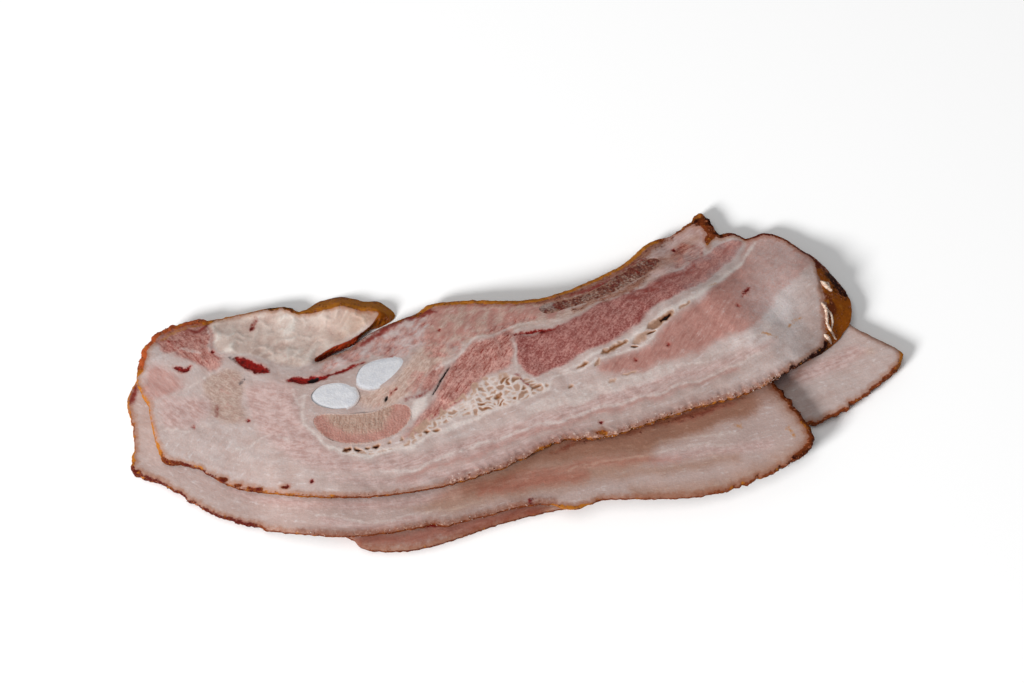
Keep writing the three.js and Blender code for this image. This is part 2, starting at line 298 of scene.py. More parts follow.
class CutSheet:
    """The finished mesh of one cut sheet: fine upper face, round walls and a coarser underside.
    The functions ragged and undercut say how far its outer rim moves out and how far the foot
    of that wall moves in, grow widens all of it, and fine is a zone with a pitch of its own."""

    WALL_ROWS = 9
    WALL_BULGE = 0.25
    WALL_ROUGHNESS = 0.35
    UNDER_PITCH = 4
    CLEARANCE = 0.55
    FINE_CLEARANCE = 0.4
    SHARP_EDGE = math.radians(55)

    def __init__(self, node, pitch, ragged=None, fine=None, grow=0.0, undercut=None):
        upper_face, lower_face, rims = cad_sheet(node)
        self.upper, self.lower = HeightMap(*upper_face), HeightMap(*lower_face)
        tops, feet = [], []
        for rim in rims:
            outer = not tops
            rim = curve_through(rim, pitch)
            edge = rim[:, :2]
            out = outward_of(edge)
            shift = grow + (ragged(edge) if ragged and outer else 0)
            recess = undercut(edge) if undercut and outer else 0
            tops.append(edge + out * np.reshape(shift, (-1, 1)))
            feet.append(rim[:, 3:5] + out * np.reshape(shift - recess, (-1, 1)))
        self.rim = tops[0]
        inner = self.inner_points(pitch, np.vstack(tops), fine)
        face = np.vstack([*tops, inner])
        place, height, wall = [face], [self.upper.at(face)], [np.zeros(len(face))]
        faces = [filled(tops, inner)]
        count = len(face)
        starts = np.cumsum([0] + [len(top) for top in tops])
        foot_rows = []
        for top, foot, first in zip(tops, feet, starts):
            above = first + np.arange(len(top))
            out = outward_of(top)
            z_top, z_foot = self.upper.at(top), self.lower.at(foot)
            for row in range(1, self.WALL_ROWS + 1):
                t = row / self.WALL_ROWS
                middle = math.sin(math.pi * t)
                spot = top * (1 - t) + foot * t
                if first == 0:
                    spot = spot + out * (self.WALL_BULGE * middle)
                if ragged and first == 0:
                    rough = self.WALL_ROUGHNESS * wander(spot + 7 * t * 6, 1.3, 5, 1) * middle
                    spot = spot + out * rough[:, None]
                below = count + np.arange(len(top))
                count += len(top)
                place.append(spot)
                height.append(z_top * (1 - t) + z_foot * t)
                wall.append(np.full(len(top), t))
                next_above, next_below = np.roll(above, -1), np.roll(below, -1)
                faces += [np.c_[below, next_below, next_above], np.c_[below, next_above, above]]
                above = below
            foot_rows.append(above)
        under = spread(feet[0].min(0), feet[0].max(0), self.UNDER_PITCH)
        gap = nearest(under, np.vstack(feet))[0]
        under = under[self.lower.near(under) & (gap > 0.5 * self.UNDER_PITCH)]
        index = np.concatenate([*foot_rows, count + np.arange(len(under))])
        faces.append(index[filled(feet, under)][:, ::-1])
        self.place = np.vstack([*place, under])
        self.height = np.concatenate([*height, self.lower.at(under)])
        self.wall = np.concatenate([*wall, np.ones(len(under))])
        self.faces = np.vstack(faces)
        number = np.arange(len(self.place))
        self.is_top = number < len(face)
        outer_wall = (number >= len(face)) & (number < len(face) + self.WALL_ROWS * len(self.rim))
        self.is_wall = outer_wall | (number < len(self.rim))
        self.rim_gap = nearest(self.place, self.rim)[0]
        self.fields = {}
        self.grain = None

    def inner_points(self, pitch, rim, fine):
        low, high = rim.min(0), rim.max(0)
        points = spread(low, high, pitch)
        gap = np.full(len(points), self.CLEARANCE * pitch)
        if fine:
            zone, fine_pitch = fine
            small = spread(low, high, fine_pitch)
            small = small[self.upper.near(small)]
            small = small[zone(small) > 0]
            points = points[zone(points) < -self.FINE_CLEARANCE * pitch]
            gap = np.r_[gap[:len(points)], np.full(len(small), self.FINE_CLEARANCE * pitch)]
            points = np.vstack([points, small])
        keep = self.upper.near(points)
        points, gap = points[keep], gap[keep]
        return points[nearest(points, rim)[0] > gap]

    def paint(self, **fields):
        for name, values in fields.items():
            self.fields[name] = np.broadcast_to(np.asarray(values, float), len(self.place))

    def grain_along(self, guide):
        """How far along the guide and across it each point lies in mm, and its grain in metres."""
        line = curve_through(guide, 1.0, closed=False)
        run = np.r_[0, np.cumsum(np.linalg.norm(np.diff(line, axis=0), axis=1))]
        _, which = nearest(self.place, line)
        along = np.gradient(line, axis=0)
        along /= np.linalg.norm(along, axis=1)[:, None]
        away = self.place - line[which]
        side = along[which]
        self.along = run[which] + (away * side).sum(1)
        self.across = side[:, 0] * away[:, 1] - side[:, 1] * away[:, 0]
        self.grain = np.c_[self.along, self.across, self.height] * MM

    def made(self, name, finish):
        mesh = bpy.data.meshes.new(name)
        mesh.from_pydata((np.c_[self.place, self.height] * MM).tolist(), [], self.faces.tolist())
        mesh.shade_smooth()
        for field, values in self.fields.items():
            made = mesh.attributes.new(field, "FLOAT", "POINT")
            made.data.foreach_set("value", values.astype(np.float32))
        if self.grain is not None:
            made = mesh.attributes.new("grain", "FLOAT_VECTOR", "POINT")
            made.data.foreach_set("vector", self.grain.ravel().astype(np.float32))
        mesh.set_sharp_from_angle(angle=self.SHARP_EDGE)
        mesh.materials.append(finish)
        return placed(name, mesh)


LIGHT_LEVEL = 1.27


def colour(red, green, blue):
    """A surface colour from how it looks under these lights, from 0 to 255."""
    parts = [value / 255 for value in (red, green, blue)]
    light = [part / 12.92 if part < 0.04045 else ((part + 0.055) / 1.055) ** 2.4 for part in parts]
    return (*[part / LIGHT_LEVEL for part in light], 1)


class Value:
    """A number that changes over a material, to be added to, taken away from or multiplied."""

    def __init__(self, finish, socket):
        self.finish, self.socket = finish, socket

    def __add__(self, other):
        return self.finish.sum("ADD", self, other)

    def __sub__(self, other):
        return self.finish.sum("SUBTRACT", self, other)

    def __mul__(self, other):
        return self.finish.sum("MULTIPLY", self, other)

    __radd__, __rmul__ = __add__, __mul__


class Finish:
    """A material put together from nodes."""

    def __init__(self, name, **surface):
        self.material = bpy.data.materials.new(name)
        self.material.use_nodes = True
        self.tree = self.material.node_tree
        self.shader = self.tree.nodes["Principled BSDF"]
        for label, value in surface.items():
            self.shader.inputs[label.replace("_", " ")].default_value = value
        self.here = self.node("ShaderNodeTexCoord").outputs["Object"]

    def node(self, kind, inputs=None, **settings):
        node = self.tree.nodes.new(kind)
        for label, value in settings.items():
            setattr(node, label, value)
        for label, value in (inputs or {}).items():
            self.put(node.inputs[label], value)
        return node

    def put(self, socket, value):
        if isinstance(value, Value):
            value = value.socket
        if isinstance(value, bpy.types.NodeSocket):
            self.tree.links.new(value, socket)
        else:
            socket.default_value = value

    def sum(self, operation, a, b):
        return Value(self, self.node("ShaderNodeMath", {0: a, 1: b}, operation=operation).outputs[0])

    def field(self, name):
        return Value(self, self.node("ShaderNodeAttribute", attribute_name=name).outputs["Fac"])

    def vector(self, name):
        return self.node("ShaderNodeAttribute", attribute_name=name).outputs["Vector"]

    def turned(self, degrees):
        """Places turned about Z, so that their X runs at the given angle over the table."""
        return self.node("ShaderNodeVectorRotate", {"Vector": self.here, "Angle": -math.radians(degrees)},
                         rotation_type="Z_AXIS").outputs[0]

    def grains(self, size):
        """Grains of about the given size: a random value for each, and how far its heart is."""
        found = self.node("ShaderNodeTexVoronoi", {"Vector": self.here, "Scale": 1 / (size * MM)})
        value = self.node("ShaderNodeSeparateColor", {0: found.outputs["Color"]}).outputs[0]
        return Value(self, value), Value(self, found.outputs["Distance"])

    def noise(self, size, detail=2, roughness=0.5, where=None, stretch=None, distortion=0.0):
        """Noise from -0.5 to 0.5 that changes over about the given size in mm."""
        where = where or self.here
        if stretch:
            scale = [1 / part for part in stretch]
            where = self.node("ShaderNodeMapping", {"Vector": where, "Scale": scale}).outputs[0]
        inputs = {"Vector": where, "Scale": 1 / (size * MM), "Detail": detail, "Roughness": roughness,
                  "Distortion": distortion}
        found = self.node("ShaderNodeTexNoise", inputs)
        return Value(self, found.outputs["Fac"]) - 0.5

    def either(self, first, second, share):
        return Value(self, self.node("ShaderNodeMix", {0: share, 2: first, 3: second}).outputs[0])

    def between(self, value, low, high):
        return self.node("ShaderNodeMapRange", {"Value": value, "From Min": low, "From Max": high},
                         interpolation_type="SMOOTHSTEP").outputs["Result"]

    def mixed(self, under, over, amount, way="MIX"):
        inputs = {0: amount, 6: under, 7: over}
        return self.node("ShaderNodeMix", inputs, data_type="RGBA", blend_type=way).outputs[2]

    def layers(self, base, *layers):
        """Shades over the base, each where its value passes from low to high.
        A shade of three numbers is a stain, which multiplies what lies under it."""
        for shade, value, low, high in layers:
            if isinstance(shade, tuple) and len(shade) == 3:
                shade = self.mixed(base, (*shade, 1), 1.0, "MULTIPLY")
            base = self.mixed(base, shade, self.between(value, low, high))
        return base

    def done(self, base, roughness, relief, depth):
        self.put(self.shader.inputs["Base Color"], base)
        self.put(self.shader.inputs["Roughness"], roughness)
        bump = self.node("ShaderNodeBump", {"Height": relief, "Distance": depth * MM, "Strength": 1.0})
        self.put(self.shader.inputs["Normal"], bump.outputs["Normal"])
        return self.material


FAT_PALE = colour(210, 198, 196)
FAT = colour(196, 178, 173)
FAT_WARM = colour(184, 160, 153)
GLINT = colour(228, 221, 216)
TAN_PALE = colour(204, 180, 168)
TAN = colour(178, 145, 132)
# The lobe's ridge and hollow tones are painted light and shade over its folds.
LOBE_RIDGE_LIT = colour(230, 217, 208)
LOBE = colour(220, 199, 188)
LOBE_HOLLOW_SHADE = colour(207, 179, 167)
PALE_LEAN = colour(204, 178, 173)
PINK_LEAN = colour(180, 145, 138)
WARM_LEAN = colour(186, 138, 128)
WARM_SHADE = colour(164, 110, 100)
LEAN_PALE = colour(196, 148, 138)
LEAN = colour(160, 100, 90)
RED_LEAN = colour(134, 56, 48)
DEEP_PALE = colour(182, 130, 122)
DEEP_LEAN = colour(144, 82, 76)
DEEP_SHADE = colour(126, 48, 44)
WHITE = colour(216, 203, 197)
# Pit tones darken with the depth of the hollows: painted shade, with the amber and brown at their bottoms
# partly the fat's own.
PIT_FAINT_SHADE = colour(188, 154, 136)
PIT_SHADE = colour(142, 104, 82)
PIT_AMBER = colour(138, 84, 44)
PIT_BROWN_SHADE = colour(84, 34, 14)
# RECESS_SHADE is painted shade deep in the holes and slits.
RECESS_SHADE = colour(16, 4, 4)
GREY = colour(112, 98, 96)
BLOOD = colour(142, 22, 14)
BLOOD_DARK = colour(84, 8, 6)
CRUMB = colour(212, 194, 186)
RIND = colour(118, 54, 22)
RIND_DARK = colour(46, 12, 6)
RIND_GOLD = colour(176, 108, 36)
RIND_RED = colour(88, 24, 15)
RIND_RUST = colour(176, 84, 44)
RIND_AMBER = colour(158, 84, 16)
RIND_SPECK = colour(178, 108, 76)
HIDE = colour(146, 96, 78)
HIDE_PALE = colour(180, 142, 124)
OCHRE = colour(184, 128, 76)
# CLEFT_RED_LIT is lighter than the cleft wall looks: painted light that lifts the shade deep in the cleft.
CLEFT_RED_LIT = colour(178, 62, 26)
# SMOKE_AND_SHADE browns like smoke; on the middle slice it is also painted shade under the top slice's near
# edge.
SMOKE_AND_SHADE = (0.82, 0.66, 0.55)
SHADED = (0.76, 0.62, 0.55)
FRINGED = (0.72, 0.60, 0.57)
TOASTED = (0.78, 0.58, 0.48)
BLOODIED = (0.86, 0.62, 0.58)
SCATTER = (0.9, 0.42, 0.3)


def pork_finish(name):
    """Cut pork: fat with layers of lean along the grain, and the browned rind round its edge."""
    f = Finish(name, Subsurface_Weight=0.06, Subsurface_Radius=SCATTER, Subsurface_Scale=0.001)
    slant = 58
    grain, slope = f.vector("grain"), f.turned(slant)
    slanted = f.between(f.field("slanted"), -1.5, 1.5)
    broad, cloudy = f.noise(18), f.noise(5, 3, 0.6)
    mottle, grainy = f.noise(2.2, 3, 0.65), f.noise(0.8, 3, 0.7)
    bands = f.noise(2.6, 3, 0.55, grain, (14, 1, 1))
    fibres = f.either(f.noise(1.2, 3, 0.6, grain, (5, 1, 1), 0.4),
                      f.noise(1.3, 3, 0.6, slope, (4, 1, 1), 0.5), slanted)
    hairs = f.either(f.noise(0.7, 2, 0.6, grain, (3, 1, 1), 1.0),
                     f.noise(0.7, 2, 0.6, slope, (3, 1, 1), 0.8), slanted)
    tint, bead = f.grains(0.8)
    fray = mottle + 0.5 * grainy
    flesh = fibres + 0.8 * mottle
    grit = fibres + 0.8 * grainy
    streaks = hairs + 0.7 * mottle
    pale, lump, pit, fringe, rind = (f.field(name) for name in ("pale", "lump", "pit", "fringe", "rind"))

    fat = f.layers(
        FAT,
        (FAT_PALE, bands + broad + pale, -0.05, 0.6),
        (FAT_WARM, bands + cloudy - pale, -0.4, 0.3),
        (FAT_PALE, flesh, 0.05, 0.4),
        (FAT_WARM, hairs - mottle, 0.06, 0.4),
    )
    tan = f.layers(TAN, (TAN_PALE, flesh + hairs, -0.36, 0.36), (WARM_LEAN, fibres - cloudy, 0.06, 0.4))
    # The lobe is lighter on the ridges of its folds and darker in the hollows: painted light and shade.
    lit_ridges = f.layers(LOBE, (LOBE_RIDGE_LIT, lump + 1.5 * mottle, 0.0, 1.2))
    lobe = f.layers(
        LOBE_HOLLOW_SHADE,
        (lit_ridges, lump + 2.0 * mottle, -1.1, 0.3),
        (LEAN_PALE, cloudy - mottle, 0.18, 0.6),
        (GLINT, streaks, 0.2, 0.42),
    )
    pink = f.layers(PINK_LEAN, (PALE_LEAN, flesh, -0.28, 0.24), (LEAN, streaks, 0.18, 0.6))
    warm = f.layers(WARM_SHADE, (WARM_LEAN, flesh, -0.42, 0.24), (PALE_LEAN, flesh + cloudy, 0.1, 0.6))
    coarse = grit + 0.6 * mottle
    lean = f.layers(LEAN, (LEAN_PALE, coarse, -0.22, 0.24), (RED_LEAN, hairs - fibres, 0.06, 0.3))
    dusk = f.field("dusk") + (cloudy - grainy)
    deep = f.layers(DEEP_LEAN, (DEEP_PALE, coarse, -0.2, 0.26), (DEEP_SHADE, dusk, 0.12, 0.7))
    hide = f.layers(HIDE, (HIDE_PALE, grit + mottle, -0.1, 0.36), (RIND_RED, mottle - hairs, 0.1, 0.24))
    blood = f.layers(BLOOD, (BLOOD_DARK, mottle + grainy, -0.1, 0.2), (LEAN_PALE, grainy - mottle, 0.2, 0.34))
    crust = f.layers(
        RIND,
        (RIND_GOLD, f.field("golden") + 9.0 * fray, -1.2, 2.2),
        (RIND_RUST, f.field("rust") + 9.0 * fray, -1.2, 2.2),
        (RIND_RED, f.field("ruby") + 9.0 * fray, -1.2, 2.0),
        (RIND_AMBER, f.field("amber"), -0.5, 0.8),
        (CLEFT_RED_LIT, f.field("cleft") + 2.0 * fray, -1.0, 0.8),
        (RIND_DARK, f.field("charred") + 9.0 * fray, -1.2, 1.8),
        (RIND_DARK, grainy - mottle, 0.04, 0.3),
        (RIND_GOLD, mottle - cloudy, 0.12, 0.3),
        (RIND_SPECK, hairs - mottle, 0.1, 0.26),
    )
    base = f.layers(
        fat,
        (tan, f.field("tan") + 4.0 * fray, -2.0, 2.4),
        (lobe, f.field("lobe") + 2.0 * mottle, -1.0, 1.2),
        (pink, f.field("pale_lean") + 4.0 * fray, -2.4, 2.4),
        (warm, f.field("warm_lean") + 4.0 * fray, -2.0, 3.0),
        (lean, f.field("lean") + 3.2 * fray, -1.6, 1.6),
        (deep, f.field("deep_lean") + mottle, -0.9, 0.9),
        (hide, f.field("hide") + 5.0 * fray, -1.4, 1.4),
        (WHITE, f.field("white") + 2.2 * mottle, -1.0, 1.4),
        (RED_LEAN, f.field("red") + 3.0 * fray, -1.2, 1.0),
        (SMOKE_AND_SHADE, f.field("smoke") + 4.0 * fray, -4.0, 3.0),
        (SHADED, f.field("shaded") + 4.0 * fray, -2.5, 2.5),
        (OCHRE, f.field("ochre") + 4.0 * fray, -0.8, 1.0),
        # Painted shade in the hollows of the loose fat, darker the deeper they are.
        (PIT_FAINT_SHADE, pit, 0.0, 0.45),
        (PIT_SHADE, pit + 0.1 * mottle, 0.3, 0.85),
        (PIT_AMBER, pit + 0.15 * fray, 0.7, 0.88),
        (PIT_BROWN_SHADE, pit + 0.2 * fray, 0.82, 1.0),
        (RECESS_SHADE, pit + 0.25 * fray, 1.0, 1.2),
        (GREY, f.field("grey") + 4.0 * fray, -0.8, 0.8),
        (BLOODIED, f.field("blood") + 2.4 * fray, -1.2, 0.0),
        (blood, f.field("blood") + 2.6 * fray, -0.4, 0.25),
        # Painted shade deep in the slits.
        (RECESS_SHADE, f.field("dark") + 1.2 * fray, -0.3, 0.25),
        (FRINGED, fringe + 4.0 * fray, -2.0, 3.4),
    )
    crumbs = f.layers(base, (CRUMB, tint - 0.5 * bead, 0.4, 0.9))
    crumbs = f.layers(RIND, (crumbs, tint + 0.8 * mottle, -0.1, 0.14))
    base = f.layers(base, (crumbs, fringe + 5.0 * fray, 1.2, 3.6), (TOASTED, rind + 3.0 * fray, -2.2, -0.2),
                    (crust, rind + 1.8 * fray, -0.25, 0.3))
    either_lean = f.sum("MAXIMUM", f.field("lean"), f.field("deep_lean"))
    fleshy = f.between(f.sum("MAXIMUM", either_lean, rind), -2.0, 1.0)
    shade = f.either(0.2, 0.6, fleshy) * grainy + 0.3 * hairs + (0.25 * pale + 1.0)
    base = f.node("ShaderNodeVectorMath", {0: base, 1: shade}, operation="MULTIPLY").outputs[0]
    crusty = f.between(rind, -0.5, 0.5)
    f.put(f.shader.inputs["Specular IOR Level"], f.either(0.18, 0.05, crusty))
    return f.done(base, f.either(0.48, 0.75, crusty) + 0.5 * mottle, mottle + 0.35 * (hairs + grainy), 0.15)


FIELDS = """tan lobe pale_lean warm_lean lean deep_lean white red hide smoke shaded ochre grey blood dark
            golden rust ruby amber cleft charred fringe slanted""".split()


def plain_fields(sheet):
    sheet.paint(**dict.fromkeys(FIELDS, OUTSIDE), **dict.fromkeys(("pit", "lump", "dusk", "pale"), 0.0))


def rind_band(sheet, thickness):
    """The rind covers the walls, and the given thickness of the cut face inside its rim."""
    on_wall = np.minimum(thickness + 5 * sheet.wall - 0.4, 2.5)
    sheet.paint(rind=np.where(sheet.is_wall, on_wall, np.maximum(thickness - sheet.rim_gap, OUTSIDE)))


def fringe_band(sheet, width):
    """Crumbs cover the given width of the cut face inside its rim."""
    sheet.paint(fringe=np.where(sheet.is_top, np.maximum(width - sheet.rim_gap, OUTSIDE), OUTSIDE))


def edge_rounding(sheet):
    """The cut edge rounds over a little at the top."""
    depth, width = 0.6, 0.7
    sheet.height = sheet.height - np.where(sheet.is_top, depth * np.exp(-sheet.rim_gap / width), 0)


bottom_crumbs = [(153, 5), (143, -6), (131, -14), (116, -21)]
bottom_near = [(-61, -71), (-41, -72), (-26, -69), (-7, -62), (11, -56)]
bottom_far = [(118, 34), (131, 30), (142, 20), (151, 12)]
bottom_tip = [(149, 11), (152, 7)]


def bottom_ragged(rim):
    rough = 0.2 + 0.9 * along_rim(rim, [bottom_crumbs], 4)
    return rough * (wander(rim, 2.2, 11, 2) - 0.4)


bottom = CutSheet("slice_bottom", 0.85, bottom_ragged)
bottom.grain_along([(-70, -66), (-20, -52), (40, -32), (100, -8), (150, 12)])
plain_fields(bottom)
exact, here = bottom.place, drifted(bottom.place, 41)
bottom.paint(
    golden=most(all_of(exact, stroke, [bottom_tip, bottom_far], 3.0), stroke(exact, bottom_near, 3.0) - 2.5),
    ruby=stroke(exact, bottom_near, 3.0) - 2.0,
    charred=stroke(exact, bottom_crumbs, 1.0) - 2.0,
    tan=all_of(here, stroke, [[(128, 7), (140, 11)], [(120, 26), (128, 22)]], 1.2),
    warm_lean=stroke(here, [(-60, -69), (-45, -69), (-28, -65), (-10, -60), (8, -56)], 3.0),
    blood=stroke(here, [(-42, -62.5), (-34, -63.5), (-26, -62.5)], 0.9, 0.8) - 0.3,
    smoke=stroke(here, [(-62, -72), (-41, -72), (-26, -69), (-7, -62), (11, -56)], 1.5),
    shaded=most(stroke(here, [(-56, -67), (-40, -65), (-26, -63), (-10, -58), (8, -53)], 5.0),
                stroke(here, [(104, -8), (116, 8), (126, 24)], 1.0)),
    pale_lean=stroke(here, [(100, -2), (116, 2), (134, 10)], 3.5),
    # The near strip is darker: painted shade under the middle slice's near edge.
    pale=-0.35 * step(-exact[:, 1], 45, 52),
)
rind_band(bottom, 0.4 + 0.6 * along_rim(exact, [bottom_crumbs]) - 0.1 * along_rim(exact, [bottom_near]))
bottom.height += 0.25 * wander(exact, 12, 21) * bottom.is_top * step(bottom.rim_gap, 0, 4)
edge_rounding(bottom)
bottom_piece = bottom.made("bottom_slice", pork_finish("bottom slice"))
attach(bottom_piece, "root")
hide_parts("slice_bottom")

# Middle slice
# The second slice lies over the bottom one and shows along the near side and at the
# left. Layers of lean and fat run along it, and its rind is thick and dark at the right
# end and along the near left edge.
middle_right_rind = [(102, -6), (110, -18), (116, -28), (112, -35)]
middle_left_rind = [(-149, -40), (-135, -47), (-118, -58), (-102, -63)]
middle_near_rind = [(112, -35), (96, -41), (78, -45), (50, -46)]
middle_fringe = [(-80, -70), (-55, -71), (-30, -66), (-8, -61), (10, -56)]
middle_left_edge = [(-146, 10), (-152, -8), (-153, -20), (-149, -36)]
middle_layers = [
    [(-111, -48), (-81, -56), (-56, -57), (-37, -55), (-14, -49), (9, -45), (40, -39), (71, -35), (96, -31)],
    [(-74, -64), (-56, -65), (-37, -63)],
]
middle_white = [[(-78, -61), (-60, -63), (-37, -61), (-14, -55)], [(32, -35), (63, -30), (86, -27)],
                [(20, -43), (50, -36), (80, -31)]]
middle_ochre = [[(104, -25), (107, -28)], [(86, -24), (87, -24)], [(-37, -49), (-33, -48)]]
middle_smoke_and_shade = [[(-50, -58), (-33, -58), (-18, -50), (1, -46), (20, -42), (47, -36)],
                 [(10, -37), (45, -27), (88, -14)]]


def middle_ragged(rim):
    rough = 0.3 + 0.5 * along_rim(rim, [middle_right_rind, middle_left_rind, middle_near_rind], 4)
    sag = 2.0 * step(stroke(rim, [(-27, -63), (-14, -60), (5, -55), (27, -54)], 6), 0, 6)
    sag += 1.9 * step(stroke(rim, [(18, -54), (23, -54)], 5), 0, 5)
    return rough * (wander(rim, 1.9, 12, 2) - 0.4) + sag


middle = CutSheet("slice_middle", 0.8, middle_ragged)
middle.grain_along([(-152, -28), (-130, -42), (-100, -54), (-60, -60), (-20, -54), (20, -42), (60, -36),
                    (112, -26)])
plain_fields(middle)
exact, here = middle.place, drifted(middle.place, 43)
middle.paint(
    pale=-0.35 * step(exact[:, 0], -130, -60),
    pale_lean=all_of(here, stroke, middle_layers, 1.6),
    warm_lean=most(stroke(here, [(-8, -47), (10, -44), (40, -39), (62, -37)], 1.4, 0.5),
                   stroke(here, [(-14, -52), (0, -49), (14, -46.5), (26, -45)], 3.0, 0.4)),
    lean=stroke(here, [(17, -34), (28, -28), (48, -25), (71, -18), (84, -14)], 2.0, 0.4) - 0.6,
    white=all_of(here, stroke, middle_white, 0.1, 0.8),
    hide=stroke(here, [(14, -35), (28, -30), (47, -26), (71, -17), (88, -11)], 2.0, 0.5) - 0.8,
    # The middle_smoke_and_shade strokes run under the top slice's near edge: painted shade there, in a smoked
    # brown.
    smoke=most(all_of(here, stroke, middle_smoke_and_shade, 8.0, 0.3) - 8 * step(-exact[:, 0], 8, 48),
               stroke(here, [(2, -50), (12, -49), (30, -46), (60, -41), (85, -37)], 5.0) - 3.8,
               3.6 * along_rim(exact, [middle_near_rind, middle_right_rind], 8) - 0.9 * middle.rim_gap),
    shaded=most(stroke(here, [(-20, -51), (-8, -47), (16, -34)], 4.0) - 1.5,
                stroke(here, [(4, -38), (16, -34), (47, -28), (71, -19), (92, -13), (104, -6)], 6.8, 0.5)),
    ochre=all_of(here, stroke, middle_ochre, 0.8),
    charred=all_of(exact, stroke, [middle_right_rind, middle_near_rind], 3.0) - 2.2,
    ruby=stroke(exact, middle_left_rind, 3.0),
    golden=all_of(exact, stroke, [[(14, -56.5), (21, -58), (27, -56.5)], middle_left_edge,
                                  [(-8, -47.5), (-8, -47)], [(-7.5, -51), (-7, -55)]], 2.0),
    blood=stroke(here, [(4.5, -56), (5.5, -56.5)], 0.8),
    red=all_of(here, stroke, [[(-150, -5), (-152, -12)], [(-120, -58), (-100, -64)]], 1.0),
)
fringe_band(middle, 3.2 * along_rim(exact, [middle_fringe]))
rind_widths = [
    (middle_right_rind, 1.4), (middle_left_rind, 0.5), (middle_near_rind, 0.5), (middle_left_edge, 0.3),
]
rind_band(middle, 0.3 + sum(width * along_rim(exact, [line]) for line, width in rind_widths)
          + 1.6 * np.maximum(stroke(exact, [(17, -57), (24, -57.5)], 3.0) / 3, 0))
middle.height += 0.25 * wander(exact, 12, 22) * middle.is_top * step(middle.rim_gap, 0, 4)
middle.height += 0.15 * wander(exact, 1.5, 24, 1) * step(middle.fields["fringe"], 0, 1.5)
edge_rounding(middle)
middle_piece = middle.made("middle_slice", pork_finish("middle slice"))
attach(middle_piece, "root")
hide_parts("slice_middle")

# Top slice
# The whole slice that lies on top: a dark and a pale muscle at the right, lean and loose
# fat round the rib in the middle, and back fat along the near side. A deep cut parts the
# fat lobe at the far left from the lean next to it.
HIGHEST = 19.6
grain_guide = [
    (-148, -14), (-133, -28), (-111, -38), (-83, -44), (-56, -44), (-34, -38), (-7, -28), (16, -18),
    (40, -10), (63, 1), (87, 16), (113, 37), (126, 50),
]
dark_muscle = [
    (-1, 11), (7, 13), (18, 18), (33, 27), (49, 35), (65, 44), (76, 52), (82, 58), (89, 61), (91, 58),
    (84, 48), (74.5, 37), (62, 29), (54.5, 22.5), (47, 16), (40, 11.5), (32, 7.5), (20, 1.5), (10, -5),
    (5, -5), (1, -2),
]
streaky_muscle = [
    (-2, 15), (-13, 10.5), (-22, 6), (-28, -5), (-32, -14), (-38, -24), (-44, -31), (-38, -29), (-30, -23),
    (-20, -14), (-11, -6), (-3, -1),
]
far_muscle = [
    (-78, 1), (-70, 7), (-60, 14), (-50, 21), (-42, 25), (-31, 30), (-14, 30), (0, 26), (8, 21), (-2, 17),
    (-11, 13), (-19, 12), (-29, 10), (-36, 9), (-45, 5), (-55, 6), (-64, 4), (-73, 0), (-81, -3),
]
dusk_line = [(16, -1), (33, 8), (50, 19), (66, 31)]
small_muscle = [(-38, -13), (-36, -7), (-31, 0), (-28, -1), (-30, -6), (-33, -12)]
ruddy_gristle = [(-36, 5), (-35, 12), (-27, 14), (-23, 9), (-27, 4), (-32, 4)]
ruddy_fibres = [(-43, -12), (-42, -6), (-38, -3), (-36, -6), (-38, -13)]
near_muscle = [
    (-106, -10), (-100, -5), (-91, -6), (-85, -13), (-82, -26), (-74, -35), (-62, -41), (-47, -41),
    (-26, -35), (-7, -28), (10, -22), (35, -13), (55, -6), (75, 0), (95, 8), (101, 11), (94, 5), (75, -4),
    (55, -11), (35, -18), (10, -26), (-7, -33), (-26, -40), (-45, -45), (-64, -47), (-79, -44), (-91, -36),
    (-101, -25),
]
pale_muscle = [
    (32, -4), (39, 2), (50, 7.5), (57, 15), (63, 20.5), (70, 25), (78, 34), (87, 45), (94, 60), (103, 65),
    (112, 60), (117, 52), (110, 40), (101, 29), (94, 20.5), (87, 14.5), (72, 6), (55, -1), (42, -4),
]
dusky_muscle = [
    (-143, 14), (-137, 21), (-127, 24), (-122, 18), (-120, 10), (-116, 6), (-119, 0), (-126, 2), (-135, 7),
    (-141, 8),
]
left_rays = [(-136, -27), (-117, -24), (-101, -30), (-98, -43), (-108, -47), (-126, -40), (-135, -36)]
left_lean = [(-146, 0), (-139, 1), (-132, -3), (-131, -9), (-138, -13), (-145, -11)]
left_band = [(-139, -14), (-131, -12), (-122, -12), (-120, -18), (-127, -23), (-136, -26)]
tan_fat = [(-122, -5), (-116, 0), (-110, -1), (-107, -8), (-108, -15), (-105, -22), (-112, -23), (-120, -19)]
fat_lobe = [
    (-125, 24), (-111, 27), (-91, 30), (-75, 32), (-50, 33), (-48, 25), (-60, 20), (-66, 16), (-73, 12),
    (-80, 6), (-87, 2), (-97, 4), (-107, 7), (-115, 8), (-121, 13),
]
gristle = [
    (-63, -15), (-57, -11), (-49, -6), (-44, 1), (-39, 7), (-31, 12), (-26, 7), (-29, -2), (-34, -6),
    (-39, -12), (-44, -16), (-51, -20), (-59, -20),
]
near_marrow = [(22, 24), (34, 29), (46, 36), (54, 45), (58, 50)]
membrane = [
    (1, 29), (11, 28), (23, 31), (33, 37), (43, 44), (53, 52), (62, 60), (55, 58), (45, 50), (36, 42),
    (23, 34), (9, 31),
]
knob_tissue = [
    (52, 49), (60, 58), (67, 65), (72, 70), (76, 66), (78, 60), (75, 56), (66, 46), (58, 39), (52, 38),
]
knob_lean = [(63, 55), (70, 57), (75, 55), (71, 47), (63, 45)]
beige_tissue = [(56, 48), (60, 46), (59, 39), (54, 35), (50, 38)]
fascia_corner = [(-42, -17), (-35, -13), (-34, -17), (-36, -22), (-40, -25)]
